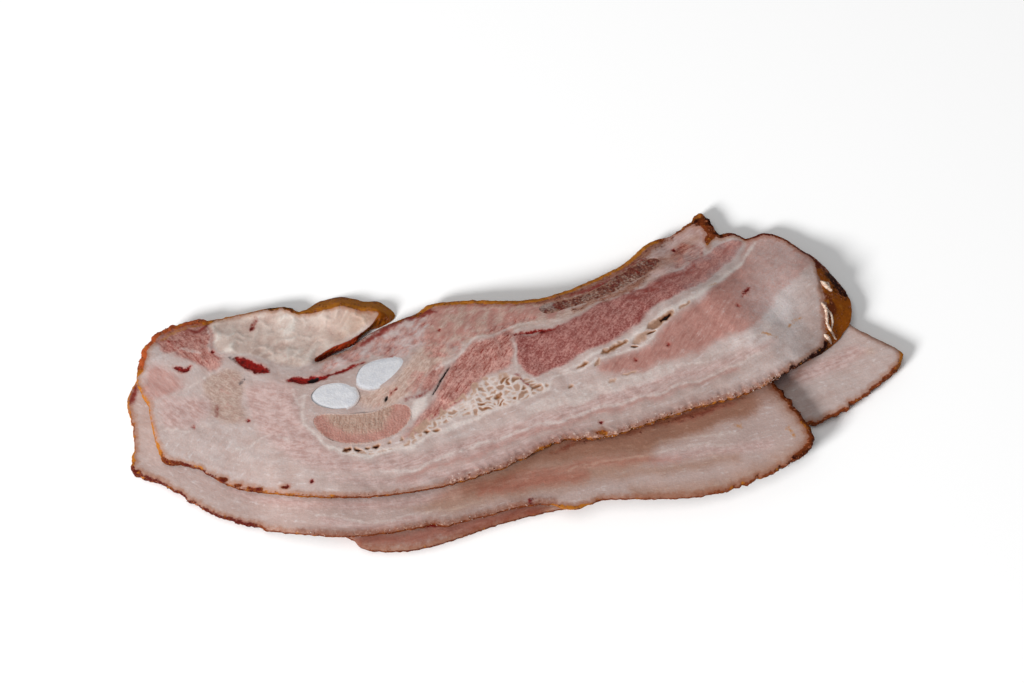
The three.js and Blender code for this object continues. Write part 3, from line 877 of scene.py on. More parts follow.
loose_web = [
    (-66, -37), (-49, -35.5), (-39.5, -30.5), (-32, -24), (-20, -14), (-11, -7.5), (-1, -6), (12.5, -8),
    (13.5, -11.5), (8.5, -14), (-2, -18), (-13, -21.5), (-24, -24.5), (-33.5, -30.5), (-43, -35.5),
    (-52.5, -38.5), (-66, -39),
]
broad_seams = [
    ([(16, -4), (32, 4.5), (49, 14.5), (65, 25.5), (80, 38), (90, 50), (96, 59)], 1.2),
    ([(-83, -12), (-83, -20), (-79, -30), (-71, -36), (-59, -39), (-45, -36), (-32, -31), (-18, -24),
      (0, -17)], 0.9),
    ([(-15, 9), (-10, 12.5), (-2, 16), (8, 18.5), (17, 19)], 0.2),
    ([(-32, -3), (-26, 2), (-18, 9.5), (-12, 12)], 0.5),
    ([(10, -8), (28, -1.5), (48, 9), (59, 20), (72, 33)], 0.6),
    ([(-56, -46), (-38, -44), (-26, -39), (-11, -34), (5, -28), (24, -22), (48, -15), (71, -7),
      (94, 4)], 0.4),
]
thin_seams = [
    [(-2, 10), (-0.5, 3.5), (-0.5, -4.5)],
    [(-134, -11), (-129, -7), (-123, -4), (-117, 1)],
    [(-138, -27.5), (-132, -26.5), (-126, -25.5)],
    [(-124, -25), (-119.5, -23.5), (-115.5, -22)],
    [(-124, 19), (-120, 9), (-114, 6), (-105, 7), (-98, 3), (-89, 1), (-80, 5)],
    [(-88, -10), (-85.5, -13.5), (-83.5, -18), (-82, -23), (-80, -28.5)],
    [(-86.5, -14.5), (-85, -12.5), (-82.5, -11.5)],
    [(-140, 6), (-132, 10), (-124, 8)],
    [(-110, -36), (-96, -30), (-86, -33)],
    [(60, -3), (80, 5), (97, 16), (106, 30)],
]
white_layer = [(4, -21), (16, -16.5), (32, -12), (47, -7.5), (60, -3.5)]
pink_layer = [(-52, -41), (-38, -40.5), (-26, -38.5), (-7, -33), (16, -24), (32, -18.5), (47, -14), (59, -11)]
pink_line = [(-45, -48), (-26, -42.5), (-7, -35), (12.5, -28), (35.5, -20.5), (63, -11), (85, -2)]
red_lines = [
    ([(21, 31.5), (33, 36.5), (43, 43), (52, 51)], 1.0),
    ([(-43.5, -16), (-39.5, -15), (-37.5, -14.5), (-34.5, -12.5)], 0.2),
    ([(-0.5, -5.5), (1.5, -7.5), (5, -9.5)], 0.5),
    ([(60.5, 38.5), (64.5, 40), (71, 45.5)], 0.3),
    ([(42.5, 28.5), (48, 29)], 0.4),
    ([(49.5, 32.5), (54.5, 34)], 0.4),
    ([(42, 28.5), (46, 30), (49.5, 30.5)], 0.3),
    ([(44, 32.5), (48.5, 33.5), (55.5, 34)], 0.35),
    ([(54.5, 35.5), (59.5, 38), (69, 42)], 0.3),
    ([(-48, 23), (-42, 26), (-34, 28)], 1.6),
    ([(-62, 12), (-54, 18), (-46, 22)], 1.2),
    ([(-124, 21), (-128, 16), (-132, 18)], 0.8),
    ([(-106.5, 18.5), (-104.5, 21.5), (-103, 25)], 0.7),
    ([(-118, -15), (-117.5, -18), (-118, -20)], 0.3),
]
blood_spots = [
    ([(-111, 5), (-107.5, 3), (-102, 1), (-98.5, -1)], 2.0),
    ([(-90, -5), (-85, -5), (-80.5, -4), (-75.5, -3.5)], 1.5),
    ([(-75.5, -3), (-69.5, -1.5), (-64.5, 1), (-61, 3)], 0.6),
    ([(-133, 1), (-131, -1), (-129.5, 1)], 0.6),
    ([(-106, 19), (-104.5, 22)], 0.25),
    ([(-50, -13.8), (-49, -12), (-48, -10.5)], 0.25),
    ([(-1, 12), (7, 13.5), (13.5, 14.5), (17, 17)], 0.45),
    ([(89.3, 30.5), (90.2, 32)], 0.25),
    ([(90.8, 33), (92, 35)], 0.35),
]
blood_dots = [
    (87, 25), (46, 1), (59, 7.5), (63, 54.5), (-31, 17), (-78.5, -50), (32, -25.5), (-125.5, -25),
    (-104.5, -22), (-120, 7.5), (-87.5, -51.5),
]
slits = [
    ([(-82, -5), (-80, -5), (-78, -3.5)], 1.1),
    ([(-51.3, -16.5), (-50.7, -15), (-50.2, -13.8)], 0.5),
    ([(-33, -14), (-30.5, -9), (-28.5, -5), (-26, -0.5)], 0.35),
]
bruises = [
    ([(-114.5, 6), (-111, 4)], 0.4),
    ([(-99, 0.5), (-97.5, -1)], 0.3),
    ([(-109, -6), (-107.5, -4)], 0.5),
]
ochre_spots = [[(95, 14), (101, 12)], [(106, 17), (109, 20)], [(108, 20), (112, 23)], [(75.5, 34), (79, 36)]]
web_holes = [
    ([(-67, -37), (-63.5, -37)], 0.8, 1.2), ([(-61.8, -36.7), (-59.2, -36.5)], 1.0, 1.25),
    ([(-57.6, -36.2), (-56.6, -36)], 0.8, 0.95), ([(-55.2, -35.6), (-52.8, -35)], 1.1, 1.2),
    ([(-50, -34.2), (-49, -33.8)], 0.5, 0.8), ([(-45, -32.4), (-44.2, -32)], 0.5, 0.8),
    ([(-36, -30), (-34, -29.7)], 1.0, 0.98), ([(-32.5, -29.3), (-30.5, -28.7)], 0.9, 0.9),
    ([(-24, -23.3)], 0.8, 1.0), ([(-20.7, -20.2)], 0.6, 1.15), ([(-8.5, -15.5), (-6.5, -14)], 1.5, 0.85),
    ([(5, -10.5), (9.5, -9.7)], 1.5, 0.82), ([(20, -10.5), (21.5, -9.5)], 0.7, 0.8),
    ([(23.5, -3), (26, -2), (28, 0)], 0.8, 0.9), ([(30.5, -2), (31.5, 1)], 0.9, 0.7),
    ([(32.5, 3), (36, 5.5), (40, 8), (43.5, 9.5)], 1.2, 0.92),
    ([(45, 8.5), (48.5, 10.5), (52, 13)], 1.7, 0.5),
    ([(44, 6.5), (47, 7)], 0.5, 1.2), ([(50.5, 14), (56, 18), (61.5, 22.5)], 2.0, 0.72),
    ([(55.5, 17), (60.5, 21.5)], 1.3, 1.35), ([(51.5, 12), (54.5, 13.5)], 0.6, 1.15),
    ([(64, 23.5), (68.5, 27.5)], 1.0, 0.6), ([(40, -5.5), (43, -5), (47, -3.8)], 0.8, 0.6),
    ([(35.5, -8.5), (38, -7.5)], 0.9, 0.45),
]
near_fringe = [
    (-22, -51), (-8, -46), (1, -41), (16, -34), (32, -31), (47, -27), (71, -18), (92, -12), (106, -4),
]
pale_fringe = [(-60, -56), (-40, -55), (-22, -51)]
far_rind = [(-38, 29), (-34, 32), (-23, 32), (-7, 31), (9, 31), (23, 35), (37, 42), (46, 51), (54, 58)]
left_rind = [(-147, -4), (-143, -18), (-140, -30), (-137, -37)]
lobe_rind = [(-87, 30), (-71, 33), (-57, 31), (-49, 28)]
lobe_far_rind = [(-125, 25), (-110, 28), (-95, 30)]
upper_left_rind = [(-148, 4), (-145, 14), (-140, 20), (-127, 25)]
near_left_rind = [(-137, -37), (-134, -40), (-117, -46), (-103, -51), (-85, -54), (-71, -55)]
knob_rind = [(66, 66), (70, 69), (75, 73), (79, 69), (83, 62), (77, 57)]
top_right_rind = [(84, 61), (92, 63), (103, 61), (114, 54), (121, 48)]
knob_cap = [
    (71, 68.5), (75, 73.5), (77.5, 71), (81.5, 63.5), (79, 60), (77, 56.5), (75.5, 61), (77, 63.5),
    (74, 67), (71.5, 67),
]
rind_spots = [[(-137, -37), (-134.5, -39.5), (-131, -40.5)], [(-130, -40), (-125.5, -41.5)],
              [(-123, -42.5), (-120, -44), (-117.5, -45.5)], [(-116, -46.5), (-112.5, -47.5)],
              [(-108, -49.5), (-105.5, -50)], [(-102, -51), (-98.5, -51.5)], [(-89, -51.5), (-87.5, -52)],
              [(5, -39.5), (12, -36)], [(52, -25), (58, -23)], [(30, -31.5), (33, -31)]]
far_tissue = [
    (-38, 30), (-14, 31), (9, 31), (20, 27), (14, 21), (-2, 18.5), (-12, 14), (-20, 12), (-29, 10),
    (-34, 8), (-37, 14), (-36, 24),
]
far_seam = [(-20, 11), (-10, 14.5), (-2, 17), (8, 19), (17, 21), (26, 25)]
char_shoulder = [(125.5, 44.5), (128, 41), (130, 37)]
near_right_rind = [(101, -8), (110, 0), (121, 10)]
near_pink = [(-71, -49.5), (-52, -50.5), (-30, -48), (-14, -42), (4, -36), (30, -26)]
orange_end = [(123.5, 40), (129, 36), (133, 28), (130, 20), (124, 14)]
cleft_wall = [(-80, 6), (-73, 12), (-66, 15), (-58, 21), (-55, 26)]
cleft_overhang = [(-61, 19), (-56, 23)]
cleft_depths = [(-79, 7), (-73, 12), (-66, 15)]
lobe_crumbs = [[(-99, 30), (-97, 30.5)], [(-94, 31), (-90.5, 31)]]


def deepest(place, marks, taper=0.6):
    return most(*[stroke(place, mark[0], mark[1], taper) for mark in marks])


def web_zone(place):
    return most(patch(place, loose_web) + 1.0, deepest(place, web_holes, 0) + 0.8)


def top_ragged(rim):
    rough = 0.25 + 0.5 * along_rim(rim, [near_fringe, upper_left_rind, knob_rind], 4)
    calm = step(stroke(rim, cleft_wall, 3), -1, 1)
    return (1 - calm) * rough * (wander(rim, 2.0, 13, 2) - 0.4)


def top_undercut(rim):
    return 1.5 * step(stroke(rim, cleft_overhang, 5), 0, 4)


def hollows(along, across, seed):
    """Hollows of uneven depth: 0 on the thin strands between them, up to 1 in the deepest."""
    cells, strand, bank = 64, 0.08, 0.5
    random = np.random.default_rng(seed)
    heart, depth = random.uniform(0.1, 0.9, (cells, cells, 2)), random.uniform(0.4, 1, (cells, cells))
    i, j = np.floor(along).astype(int), np.floor(across).astype(int)
    far, deep = [], []
    for di, dj in np.ndindex(3, 3):
        cell = (i + di - 1) % cells, (j + dj - 1) % cells
        far.append(np.hypot(along - i - di + 1 - heart[cell][:, 0], across - j - dj + 1 - heart[cell][:, 1]))
        deep.append(depth[cell])
    order = np.argsort(far, axis=0)[:2]
    near, next_near = np.take_along_axis(np.array(far), order, 0)
    return step(next_near - near, strand, bank) * np.take_along_axis(np.array(deep), order, 0)[0]


top = CutSheet("slice_top", 0.62, top_ragged, fine=(web_zone, 0.36), undercut=top_undercut)
top.grain_along(grain_guide)
plain_fields(top)
exact, here = top.place, drifted(top.place, 45)
web = patch(here, loose_web)
web_along = top.along + 1.8 * wander(exact, 4.5, 8, 2)
web_across = top.across + 1.5 * wander(exact, 4, 9, 2)
web_depth = np.clip(0.75 + 0.25 * wander(exact, 6, 14), 0.55, 0.95)
hollow_length, hollow_width = 3.6, 2.1
web_pits = step(web, -0.5, 2) * hollows(web_along / hollow_length, web_across / hollow_width, 7) * web_depth
web_shade = 0.45 * step(stroke(here, [(-40, -30), (-27, -19.5), (-15, -10), (-5, -7)], 1.8), -1, 1)
uneven = exact + np.stack([wander(exact, 3, seed, 2) for seed in (15, 16)], axis=1)
holes = most(*[depth * step(stroke(uneven, line, width, 0.7), -0.4, min(width, 1.2))
               for line, width, depth in web_holes])
pit = most(web_pits, holes, web_shade * step(wander(exact, 2.4, 36, 1), -0.4, 0.4))
lobe_turn = math.radians(52)
lobe_along = exact @ [math.cos(lobe_turn), math.sin(lobe_turn)]
lobe_across = exact @ [-math.sin(lobe_turn), math.cos(lobe_turn)]
lobe_folds = np.c_[lobe_along / 1.8, lobe_across] + 1.2 * wander(exact, 6, 25)[:, None]
fold_lines = (1 - np.abs(wander(lobe_folds, 4.5, 29, 1))) ** 3
lump = 0.6 * wander(lobe_folds, 2.4, 26, 1) + 0.4 * wander(exact, 7, 27) + 1.1 * fold_lines - 0.45
lobe, tissue, dark = patch(here, fat_lobe), patch(here, far_tissue), patch(here, dark_muscle)
faint_lean = np.minimum(all_of(here, patch, [far_muscle, knob_lean, ruddy_gristle, ruddy_fibres]), 0.2)
lean = most(all_of(here, patch, [streaky_muscle, dusky_muscle, small_muscle]),
            faint_lean + 1.2 * wander(lobe_folds, 2.0, 33, 1))
lean = np.minimum(lean, 1.0 - tissue + 2.0 * wander(lobe_folds, 1.6, 35, 1))
x = exact[:, 0]
top.paint(
    deep_lean=np.minimum(dark - 0.5, 1.5 - 1.3 * step(here[:, 0], 54, 68)),
    lean=lean,
    dusk=0.25 * step(np.hypot(*(exact - (3, 4)).T), 18, 4) + 0.3 * step(stroke(here, dusk_line, 4.0), -2, 3),
    pale_lean=most(all_of(here, patch, [near_muscle, left_lean, left_band, knob_tissue]),
                   stroke(here, near_pink, 3.0, 0.6) - 1.0, stroke(here, pink_layer, 3.2, 0.5)),
    warm_lean=most(np.minimum(patch(here, pale_muscle) + 1.0, 3.2 - 2.6 * step(here[:, 0], 76, 100)),
                   np.minimum(tissue, 1.0) + 2.4 * wander(lobe_folds, 1.8, 34, 1),
                   np.minimum(patch(here, left_lean) - 1.2, 0.8), stroke(here, pink_line, 0.9), dark - 1.2),
    tan=most(all_of(here, patch, [tan_fat, gristle, beige_tissue]), stroke(here, far_seam, 2.0), tissue),
    ochre=most(stroke(here, [(-141, 14), (-134, 19), (-126, 21)], 1.6),
               all_of(here, stroke, ochre_spots, 1.2)) - 1.0,
    lobe=lobe,
    white=most(deepest(here, broad_seams), stroke(here, [(77.5, 66)], 1.0), patch(here, fascia_corner) - 1.5,
               all_of(here, stroke, thin_seams, 0.1, 0.5), np.minimum(web - 0.2, 0.5),
               np.minimum(stroke(here, white_layer, 2.6, 0.5), -0.05)),
    lump=lump,
    # Pale lightens the surface above zero and darkens it below; its lift at the right end and along the
    # valley near there is painted light over the shade of the slopes.
    pale=sum([
        0.3 * step(x, 66, 105),
        0.1 * step(-x, 80, 110),
        -0.35 * step(x, 106, 118),
        -0.2 * step(stroke(here, pink_layer, 3.2, 0.5), -2, 1),
        -0.25 * step(patch(here, pale_muscle), -1, 2) * step(-x, -80, -66),
        0.5 * step(dark, -1, 2) * step(x, 52, 66),
        -0.3 * step(stroke(exact, [(-64, -53), (-46, -51), (-28, -47.5)], 3.0), -2, 2),
        0.35 * step(all_of(here, patch, [gristle, far_muscle]), -1, 2),
        -0.5 * step(patch(here, tan_fat), -1, 2),
        0.45 * step(stroke(exact, [(76, 27), (85, 30), (92, 31), (101, 25)], 4.0), -5, 3),
        -0.25 * step(stroke(exact, [(-10, -42), (10, -34), (40, -22), (70, -10), (98, 4)], 4.0), -4, 4),
    ]),
    slanted=all_of(exact, patch, [streaky_muscle, far_muscle, small_muscle, gristle, pale_muscle, fat_lobe,
                                  dark_muscle, left_rays]),
    red=deepest(here, red_lines),
    hide=most(patch(here, membrane) + 0.4, stroke(here, near_marrow, 1.6, 0.5)),
    smoke=most(patch(here, knob_tissue) - 5.0, 6.0 * step(lobe, -1, 3) * step(here[:, 0], -92, -52) - 4.5),
    grey=deepest(here, bruises),
    blood=most(deepest(here, blood_spots), all_of(exact, stroke, [[dot] for dot in blood_dots], 0.5)),
    dark=deepest(exact, slits, 0.95),
    golden=most(all_of(exact, stroke, [far_rind, left_rind, lobe_rind, orange_end, lobe_far_rind], 4.0),
                all_of(exact, stroke, [near_left_rind, near_fringe, knob_rind], 4.0) - 3.0),
    rust=stroke(exact, upper_left_rind, 4.0),
    ruby=most(stroke(exact, top_right_rind, 4.0) - 2.0, all_of(exact, stroke, rind_spots[:7], 1.6)),
    cleft=stroke(exact, cleft_depths, 5.0) + 3.0 * top.is_wall - 3.0,
    amber=all_of(exact, stroke, [orange_end, cleft_overhang], 6.0),
    charred=most(all_of(exact, stroke, [char_shoulder, near_right_rind], 3.0),
                 all_of(exact, stroke, [[(77.5, 71), (81.5, 63.5)], *lobe_crumbs], 2.0),
                 all_of(exact, stroke, rind_spots[7:], 1.2) - 0.8, stroke(exact, [(72, 67), (73, 69)], 1.4)),
    pit=pit * top.is_top,
)
fringe_band(top, 4.2 * along_rim(exact, [near_fringe]) + 1.5 * along_rim(exact, [pale_fringe]))
rind_widths = [(far_rind, 1.7), (left_rind, 0.4), (top_right_rind, 0.9), (lobe_rind, 0.9),
               (upper_left_rind, 1.9), (near_left_rind, 0.4), (lobe_far_rind, 0.6)]
rind_band(top, 0.15 + sum(width * along_rim(exact, [line]) for line, width in rind_widths)
          + along_rim(exact, [knob_rind], 2.5) + 0.5 * along_rim(exact, [near_right_rind, char_shoulder]))
rind_extra = most(patch(here, knob_cap), all_of(here, stroke, rind_spots + lobe_crumbs, 0.9))
cleft = stroke(exact, cleft_wall, 2.5)
red, rind = top.fields["red"], top.fields["rind"]
top.paint(
    red=np.where(top.is_wall, most(red, cleft), red),
    rind=most(rind - 3.0 * step(cleft, -1.0, 1.0) * ~top.is_wall, rind_extra),
)
relief = 0.3 * wander(exact, 15, 17) + 0.12 * wander(exact, 4, 18)
relief += 0.25 * step(lobe, 0, 3) * np.clip(lump, -1, 1)
relief -= 0.2 * pit + 0.5 * holes**2 + 0.7 * step(top.fields["dark"], -0.4, 0.3)
relief -= 0.35 * step(top.fields["blood"], -0.5, 0.6)
relief += 0.2 * step(top.fields["deep_lean"], -1, 2) - 0.12 * step(lean, -1, 2)
relief += 0.2 * wander(exact, 1.4, 19, 1) * step(top.fields["fringe"], 0, 1.5)
relief += 0.3 * wander(exact, 1.6, 20, 1) * step(top.fields["rind"], -0.3, 0.6)
relief += 0.16 * wander(np.c_[lobe_along / 2, lobe_across], 1.6, 28, 1) * step(lean, -1, 2)
top.height += relief * top.is_top * step(top.rim_gap, 0, 1.2)
edge_rounding(top)
top.height = np.minimum(top.height, HIGHEST)
top_piece = top.made("top_slice", pork_finish("top slice"))
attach(top_piece, "root")
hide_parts("slice_top")

# Cut cartilage
# Two rib cartilages, sawn through with the slice: smooth, white and pearly, a little
# proud of the meat round them.
def cartilage_finish():
    f = Finish("cartilage", Subsurface_Weight=0.15, Subsurface_Radius=(0.9, 0.8, 0.8),
               Subsurface_Scale=0.0015, Specular_IOR_Level=0.3)
    cloudy, speck = f.noise(3), f.noise(0.8, 3, 0.7)
    uneven = speck + cloudy
    base = f.layers(
        colour(226, 226, 230),
        (colour(212, 213, 220), cloudy, -0.2, 0.3),
        (colour(232, 230, 229), speck, 0.02, 0.2),
        (colour(200, 182, 176), f.field("rind") + 1.4 * uneven, -1.3, 0.2),
    )
    return f.done(base, 0.4, uneven, 0.15)


def cartilage_swell(rim):
    """The front cartilage reaches a little further over the meat on its far side."""
    return 1.3 * step(rim[:, 1], -9, -5) * step(-rim[:, 0], 62, 66)


cartilage = cartilage_finish()
for node, name in (("cartilage_front", "front_cartilage"), ("cartilage_back", "back_cartilage")):
    oval = CutSheet(node, 0.5, cartilage_swell, grow=1.15)
    oval.paint(rind=-oval.rim_gap)
    oval.height += np.where(oval.is_top, 0.3 * step(oval.rim_gap, 0, 2.5) - 0.15, 0)
    oval_piece = oval.made(name, cartilage)
    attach(oval_piece, "root")
    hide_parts(node)

# Rib end
# The end of a rib, cut where bone turns to cartilage: a tan, faintly ribbed core in a
# pink rim.
def rib_end_finish():
    f = Finish("rib end", Subsurface_Weight=0.1, Subsurface_Radius=SCATTER, Subsurface_Scale=0.0015,
               Specular_IOR_Level=0.2)
    cloudy, fine = f.noise(4, 3), f.noise(0.8, 3, 0.65)
    ribs = f.noise(0.9, 2, 0.6, stretch=(1, 4, 1))
    rim = f.layers(colour(172, 118, 106), (colour(194, 148, 137), fine + cloudy, -0.3, 0.4))
    base = f.layers(
        colour(190, 160, 145),
        (colour(166, 130, 114), ribs + fine, -0.2, 0.24),
        (rim, f.field("rim") + 4.0 * (cloudy + fine), -2.2, 1.6),
        (colour(198, 174, 164), f.field("rind") + 1.6 * fine, -0.9, 0.1),
    )
    return f.done(base, 0.45, ribs + fine, 0.25)


rib_end = CutSheet("rib_end", 0.55, grow=0.45)
rib_end_core = [
    (-76, -14), (-74.5, -23), (-68, -29), (-60, -30.5), (-52, -28), (-49, -22), (-50, -14), (-62, -12),
]
rib_end.paint(rind=-rib_end.rim_gap, rim=-patch(rib_end.place, rib_end_core))
rib_end.height += np.where(rib_end.is_top, 0.15 * wander(rib_end.place, 4, 31) - 0.1, 0)
rib_end_piece = rib_end.made("rib_end_cut", rib_end_finish())
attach(rib_end_piece, "root")
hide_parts("rib_end")

# Rib marrow
# The long strip where the saw ran along a rib: spongy dark red bone full of marrow,
# with pale flecks of bone in it.
def marrow_finish():
    f = Finish("rib marrow", Subsurface_Weight=0.05, Subsurface_Radius=(0.9, 0.3, 0.2),
               Subsurface_Scale=0.001, Specular_IOR_Level=0.2)
    sponge, fine = f.noise(2.0, 2, 0.6), f.noise(1.0, 2, 0.6)
    flecks, cloudy = f.noise(0.9), f.noise(6)
    base = f.layers(
        colour(92, 34, 24),
        (colour(136, 82, 64), fine + sponge, -0.24, 0.34),
        (colour(112, 22, 12), f.field("bloody") - (sponge + 0.5 * cloudy), 0.06, 0.24),
        (colour(170, 144, 130), f.field("flecked") + (flecks + cloudy), 0.0, 0.4),
        (colour(162, 122, 104), f.field("rind") + 2.5 * sponge, -1.0, -0.1),
        (colour(156, 134, 126), f.field("grey") + 6.0 * sponge, -1.2, 2.0),
    )
    return f.done(base, 0.5, sponge + fine, 0.2)


marrow = CutSheet("rib_bone", 0.5, grow=0.45)
exact = marrow.place
marrow_middle = np.interp(exact[:, 0], [8, 22, 36, 50, 58], [17, 14, 12.5, 15, 15])
marrow_across = exact @ [-0.55, 0.835] - marrow_middle
marrow.paint(
    rind=-marrow.rim_gap,
    grey=stroke(exact, [(10, 26), (13, 27)], 2.0),
    bloody=-0.02 + 0.06 * step(marrow_across, -1, 2),
    flecked=0.22 * step(-marrow_across, -1.0, 2.5) - 0.17,
)
marrow_relief = 0.15 * wander(exact, 1.6, 33, 1) * step(marrow.rim_gap, 0, 1) - 0.05
marrow.height += np.where(marrow.is_top, marrow_relief, 0)
marrow_piece = marrow.made("rib_marrow", marrow_finish())
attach(marrow_piece, "root")
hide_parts("rib_bone")

# Crumbs along the edges
# The saw has torn the cut edges on the near side: small crumbs of fat cling to them, with
# bits of browned rind between. One mesh of each kind, scattered along the rims.
def crumb_tree(name, finish):
    """Puts a squashed ball on each point, each of its own size, shape and turn."""
    tree = bpy.data.node_groups.new(name, "GeometryNodeTree")
    sockets = (("Rim points", "INPUT", "Geometry"), ("Smallest", "INPUT", "Float"),
               ("Largest", "INPUT", "Float"), ("Seed", "INPUT", "Int"), ("Crumbs", "OUTPUT", "Geometry"))
    for label, way, kind in sockets:
        tree.interface.new_socket(name=label, in_out=way, socket_type="NodeSocket" + kind)
    kinds = {"in": "NodeGroupInput", "out": "NodeGroupOutput", "ball": "GeometryNodeMeshIcoSphere",
             "size": "FunctionNodeRandomValue", "turn": "FunctionNodeRandomValue",
             "place": "GeometryNodeInstanceOnPoints", "stretch": "ShaderNodeVectorMath",
             "flat": "FunctionNodeRandomValue", "real": "GeometryNodeRealizeInstances",
             "paint": "GeometryNodeSetMaterial"}
    made = {label: tree.nodes.new(kind) for label, kind in kinds.items()}
    made["turn"].data_type = made["flat"].data_type = "FLOAT_VECTOR"
    made["stretch"].operation = "SCALE"
    made["ball"].inputs["Subdivisions"].default_value = 2
    made["ball"].inputs["Radius"].default_value = 1.0
    made["turn"].inputs[1].default_value = (6.28, 6.28, 6.28)
    made["flat"].inputs[0].default_value = (0.6, 0.45, 0.5)
    made["flat"].inputs[1].default_value = (1.0, 1.0, 1.0)
    made["paint"].inputs["Material"].default_value = finish
    links = [("in", 0, "place", "Points"), ("ball", 0, "place", "Instance"), ("turn", 0, "place", "Rotation"),
             ("in", 1, "size", 2), ("in", 2, "size", 3), ("in", 3, "size", "Seed"), ("in", 3, "turn", "Seed"),
             ("flat", 0, "stretch", 0), ("size", 1, "stretch", "Scale"), ("stretch", 0, "place", "Scale"),
             ("place", 0, "real", 0), ("real", 0, "paint", 0), ("paint", 0, "out", 0)]
    for source, out, target, into in links:
        tree.links.new(made[source].outputs[out], made[target].inputs[into])
    return tree


def scattered_crumbs(name, points, smallest, largest, seed, finish):
    """A plain mesh of crumbs at the given points, their radii between the two sizes in mm."""
    rim_mesh = bpy.data.meshes.new(name + "_rim")
    rim_mesh.from_pydata((points * MM).tolist(), [], [])
    holder = placed(name + "_rim", rim_mesh)
    tree = crumb_tree(name, finish)
    scatter = holder.modifiers.new("scatter", "NODES")
    scatter.node_group = tree
    sockets = {item.name: item.identifier for item in tree.interface.items_tree}
    scatter[sockets["Smallest"]] = smallest * MM
    scatter[sockets["Largest"]] = largest * MM
    scatter[sockets["Seed"]] = seed
    view = bpy.context.evaluated_depsgraph_get()
    mesh = bpy.data.meshes.new_from_object(holder.evaluated_get(view), depsgraph=view)
    bpy.data.objects.remove(holder)
    mesh.name = name
    mesh.polygons.foreach_set("use_smooth", [True] * len(mesh.polygons))
    crumbs = placed(name, mesh)
    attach(crumbs, "root")
    return crumbs


def rim_points(sheet, lines, spacing, depth, seed):
    """Random places on the cut face of a sheet, close inside the given lengths of its rim."""
    random = np.random.default_rng(seed)
    near = np.flatnonzero(along_rim(sheet.rim, lines, 1.5) > 0.5)
    run = len(near) * np.linalg.norm(np.diff(sheet.rim, axis=0), axis=1).mean()
    chosen = random.choice(near, int(run / spacing))
    inward = random.uniform(-0.1, 1, len(chosen)) ** 2 * depth
    place = sheet.rim[chosen] - outward_of(sheet.rim)[chosen] * inward[:, None]
    place += random.uniform(-0.3, 0.3, place.shape)
    _, which = nearest(place, sheet.place[sheet.is_top])
    drop = np.where(inward < 0.3, random.uniform(0, 1.2, len(chosen)), 0)
    height = np.minimum(sheet.height[sheet.is_top][which] - drop, HIGHEST - 0.3)
    return np.c_[place, height - 0.05]


def crumb_finish(name, pale, dark):
    f = Finish(name, Subsurface_Weight=0.05, Subsurface_Radius=SCATTER, Subsurface_Scale=0.0006,
               Specular_IOR_Level=0.3)
    each, fine = f.noise(1.1, 1), f.noise(0.4)
    return f.done(f.layers(pale, (dark, each + 0.5 * fine, -0.16, 0.1)), 0.6, fine, 0.1)


fat_crumb_finish = crumb_finish("fat crumbs", colour(212, 194, 186), colour(164, 130, 118))
rind_crumb_finish = crumb_finish("rind crumbs", colour(150, 84, 38), colour(80, 30, 14))
fat_spots = np.vstack([
    rim_points(top, [near_fringe[3:]], 0.9, 2.4, 51),
    rim_points(top, [near_fringe[:4]], 2.0, 1.0, 52),
    rim_points(top, [[(90, -9), (94, -10), (100, -8)]], 0.2, 1.8, 53),
    rim_points(middle, [middle_fringe], 1.6, 1.4, 54),
    rim_points(middle, [[(16, -56), (40, -47), (78, -45)]], 2.0, 1.0, 55),
])
rind_spots_near = np.vstack([
    rim_points(top, [near_fringe], 0.8, 0.7, 56),
    rim_points(top, [near_left_rind, pale_fringe], 1.6, 0.6, 57),
    rim_points(middle, [middle_near_rind, middle_right_rind], 0.9, 0.9, 58),
    rim_points(middle, [middle_fringe, middle_left_rind], 1.3, 0.6, 59),
    rim_points(bottom, [bottom_crumbs], 0.9, 0.9, 60),
    rim_points(top, [upper_left_rind, knob_rind], 1.2, 0.8, 61),
])
fat_crumbs = scattered_crumbs("fat_crumbs", fat_spots, 0.12, 0.28, 62, fat_crumb_finish)
rind_crumbs = scattered_crumbs("rind_crumbs", rind_spots_near, 0.14, 0.36, 63, rind_crumb_finish)

# Scraps of fat on the right end
# Where the rind was pulled from the right end of the top slice, torn white shreds of fat
# still hang on the browned wall.
fat_shreds = [
    ([(121, 39), (122.6, 37.4), (124.2, 36.2), (125.6, 35.2)], 1.0),
    ([(122.2, 38.2), (123.8, 38.4), (125, 37.2)], 0.7),
    ([(120.8, 29), (122.4, 26), (122.6, 22), (122.8, 18.4)], 0.85),
    ([(122.4, 27), (124.4, 24), (124.8, 20.4), (124, 17)], 0.6),
    ([(122, 21), (123.8, 17.4), (125.2, 15.4), (126.4, 14.6)], 0.6),
    ([(121, 15), (122.8, 13.4), (124.4, 12.8)], 0.8),
]


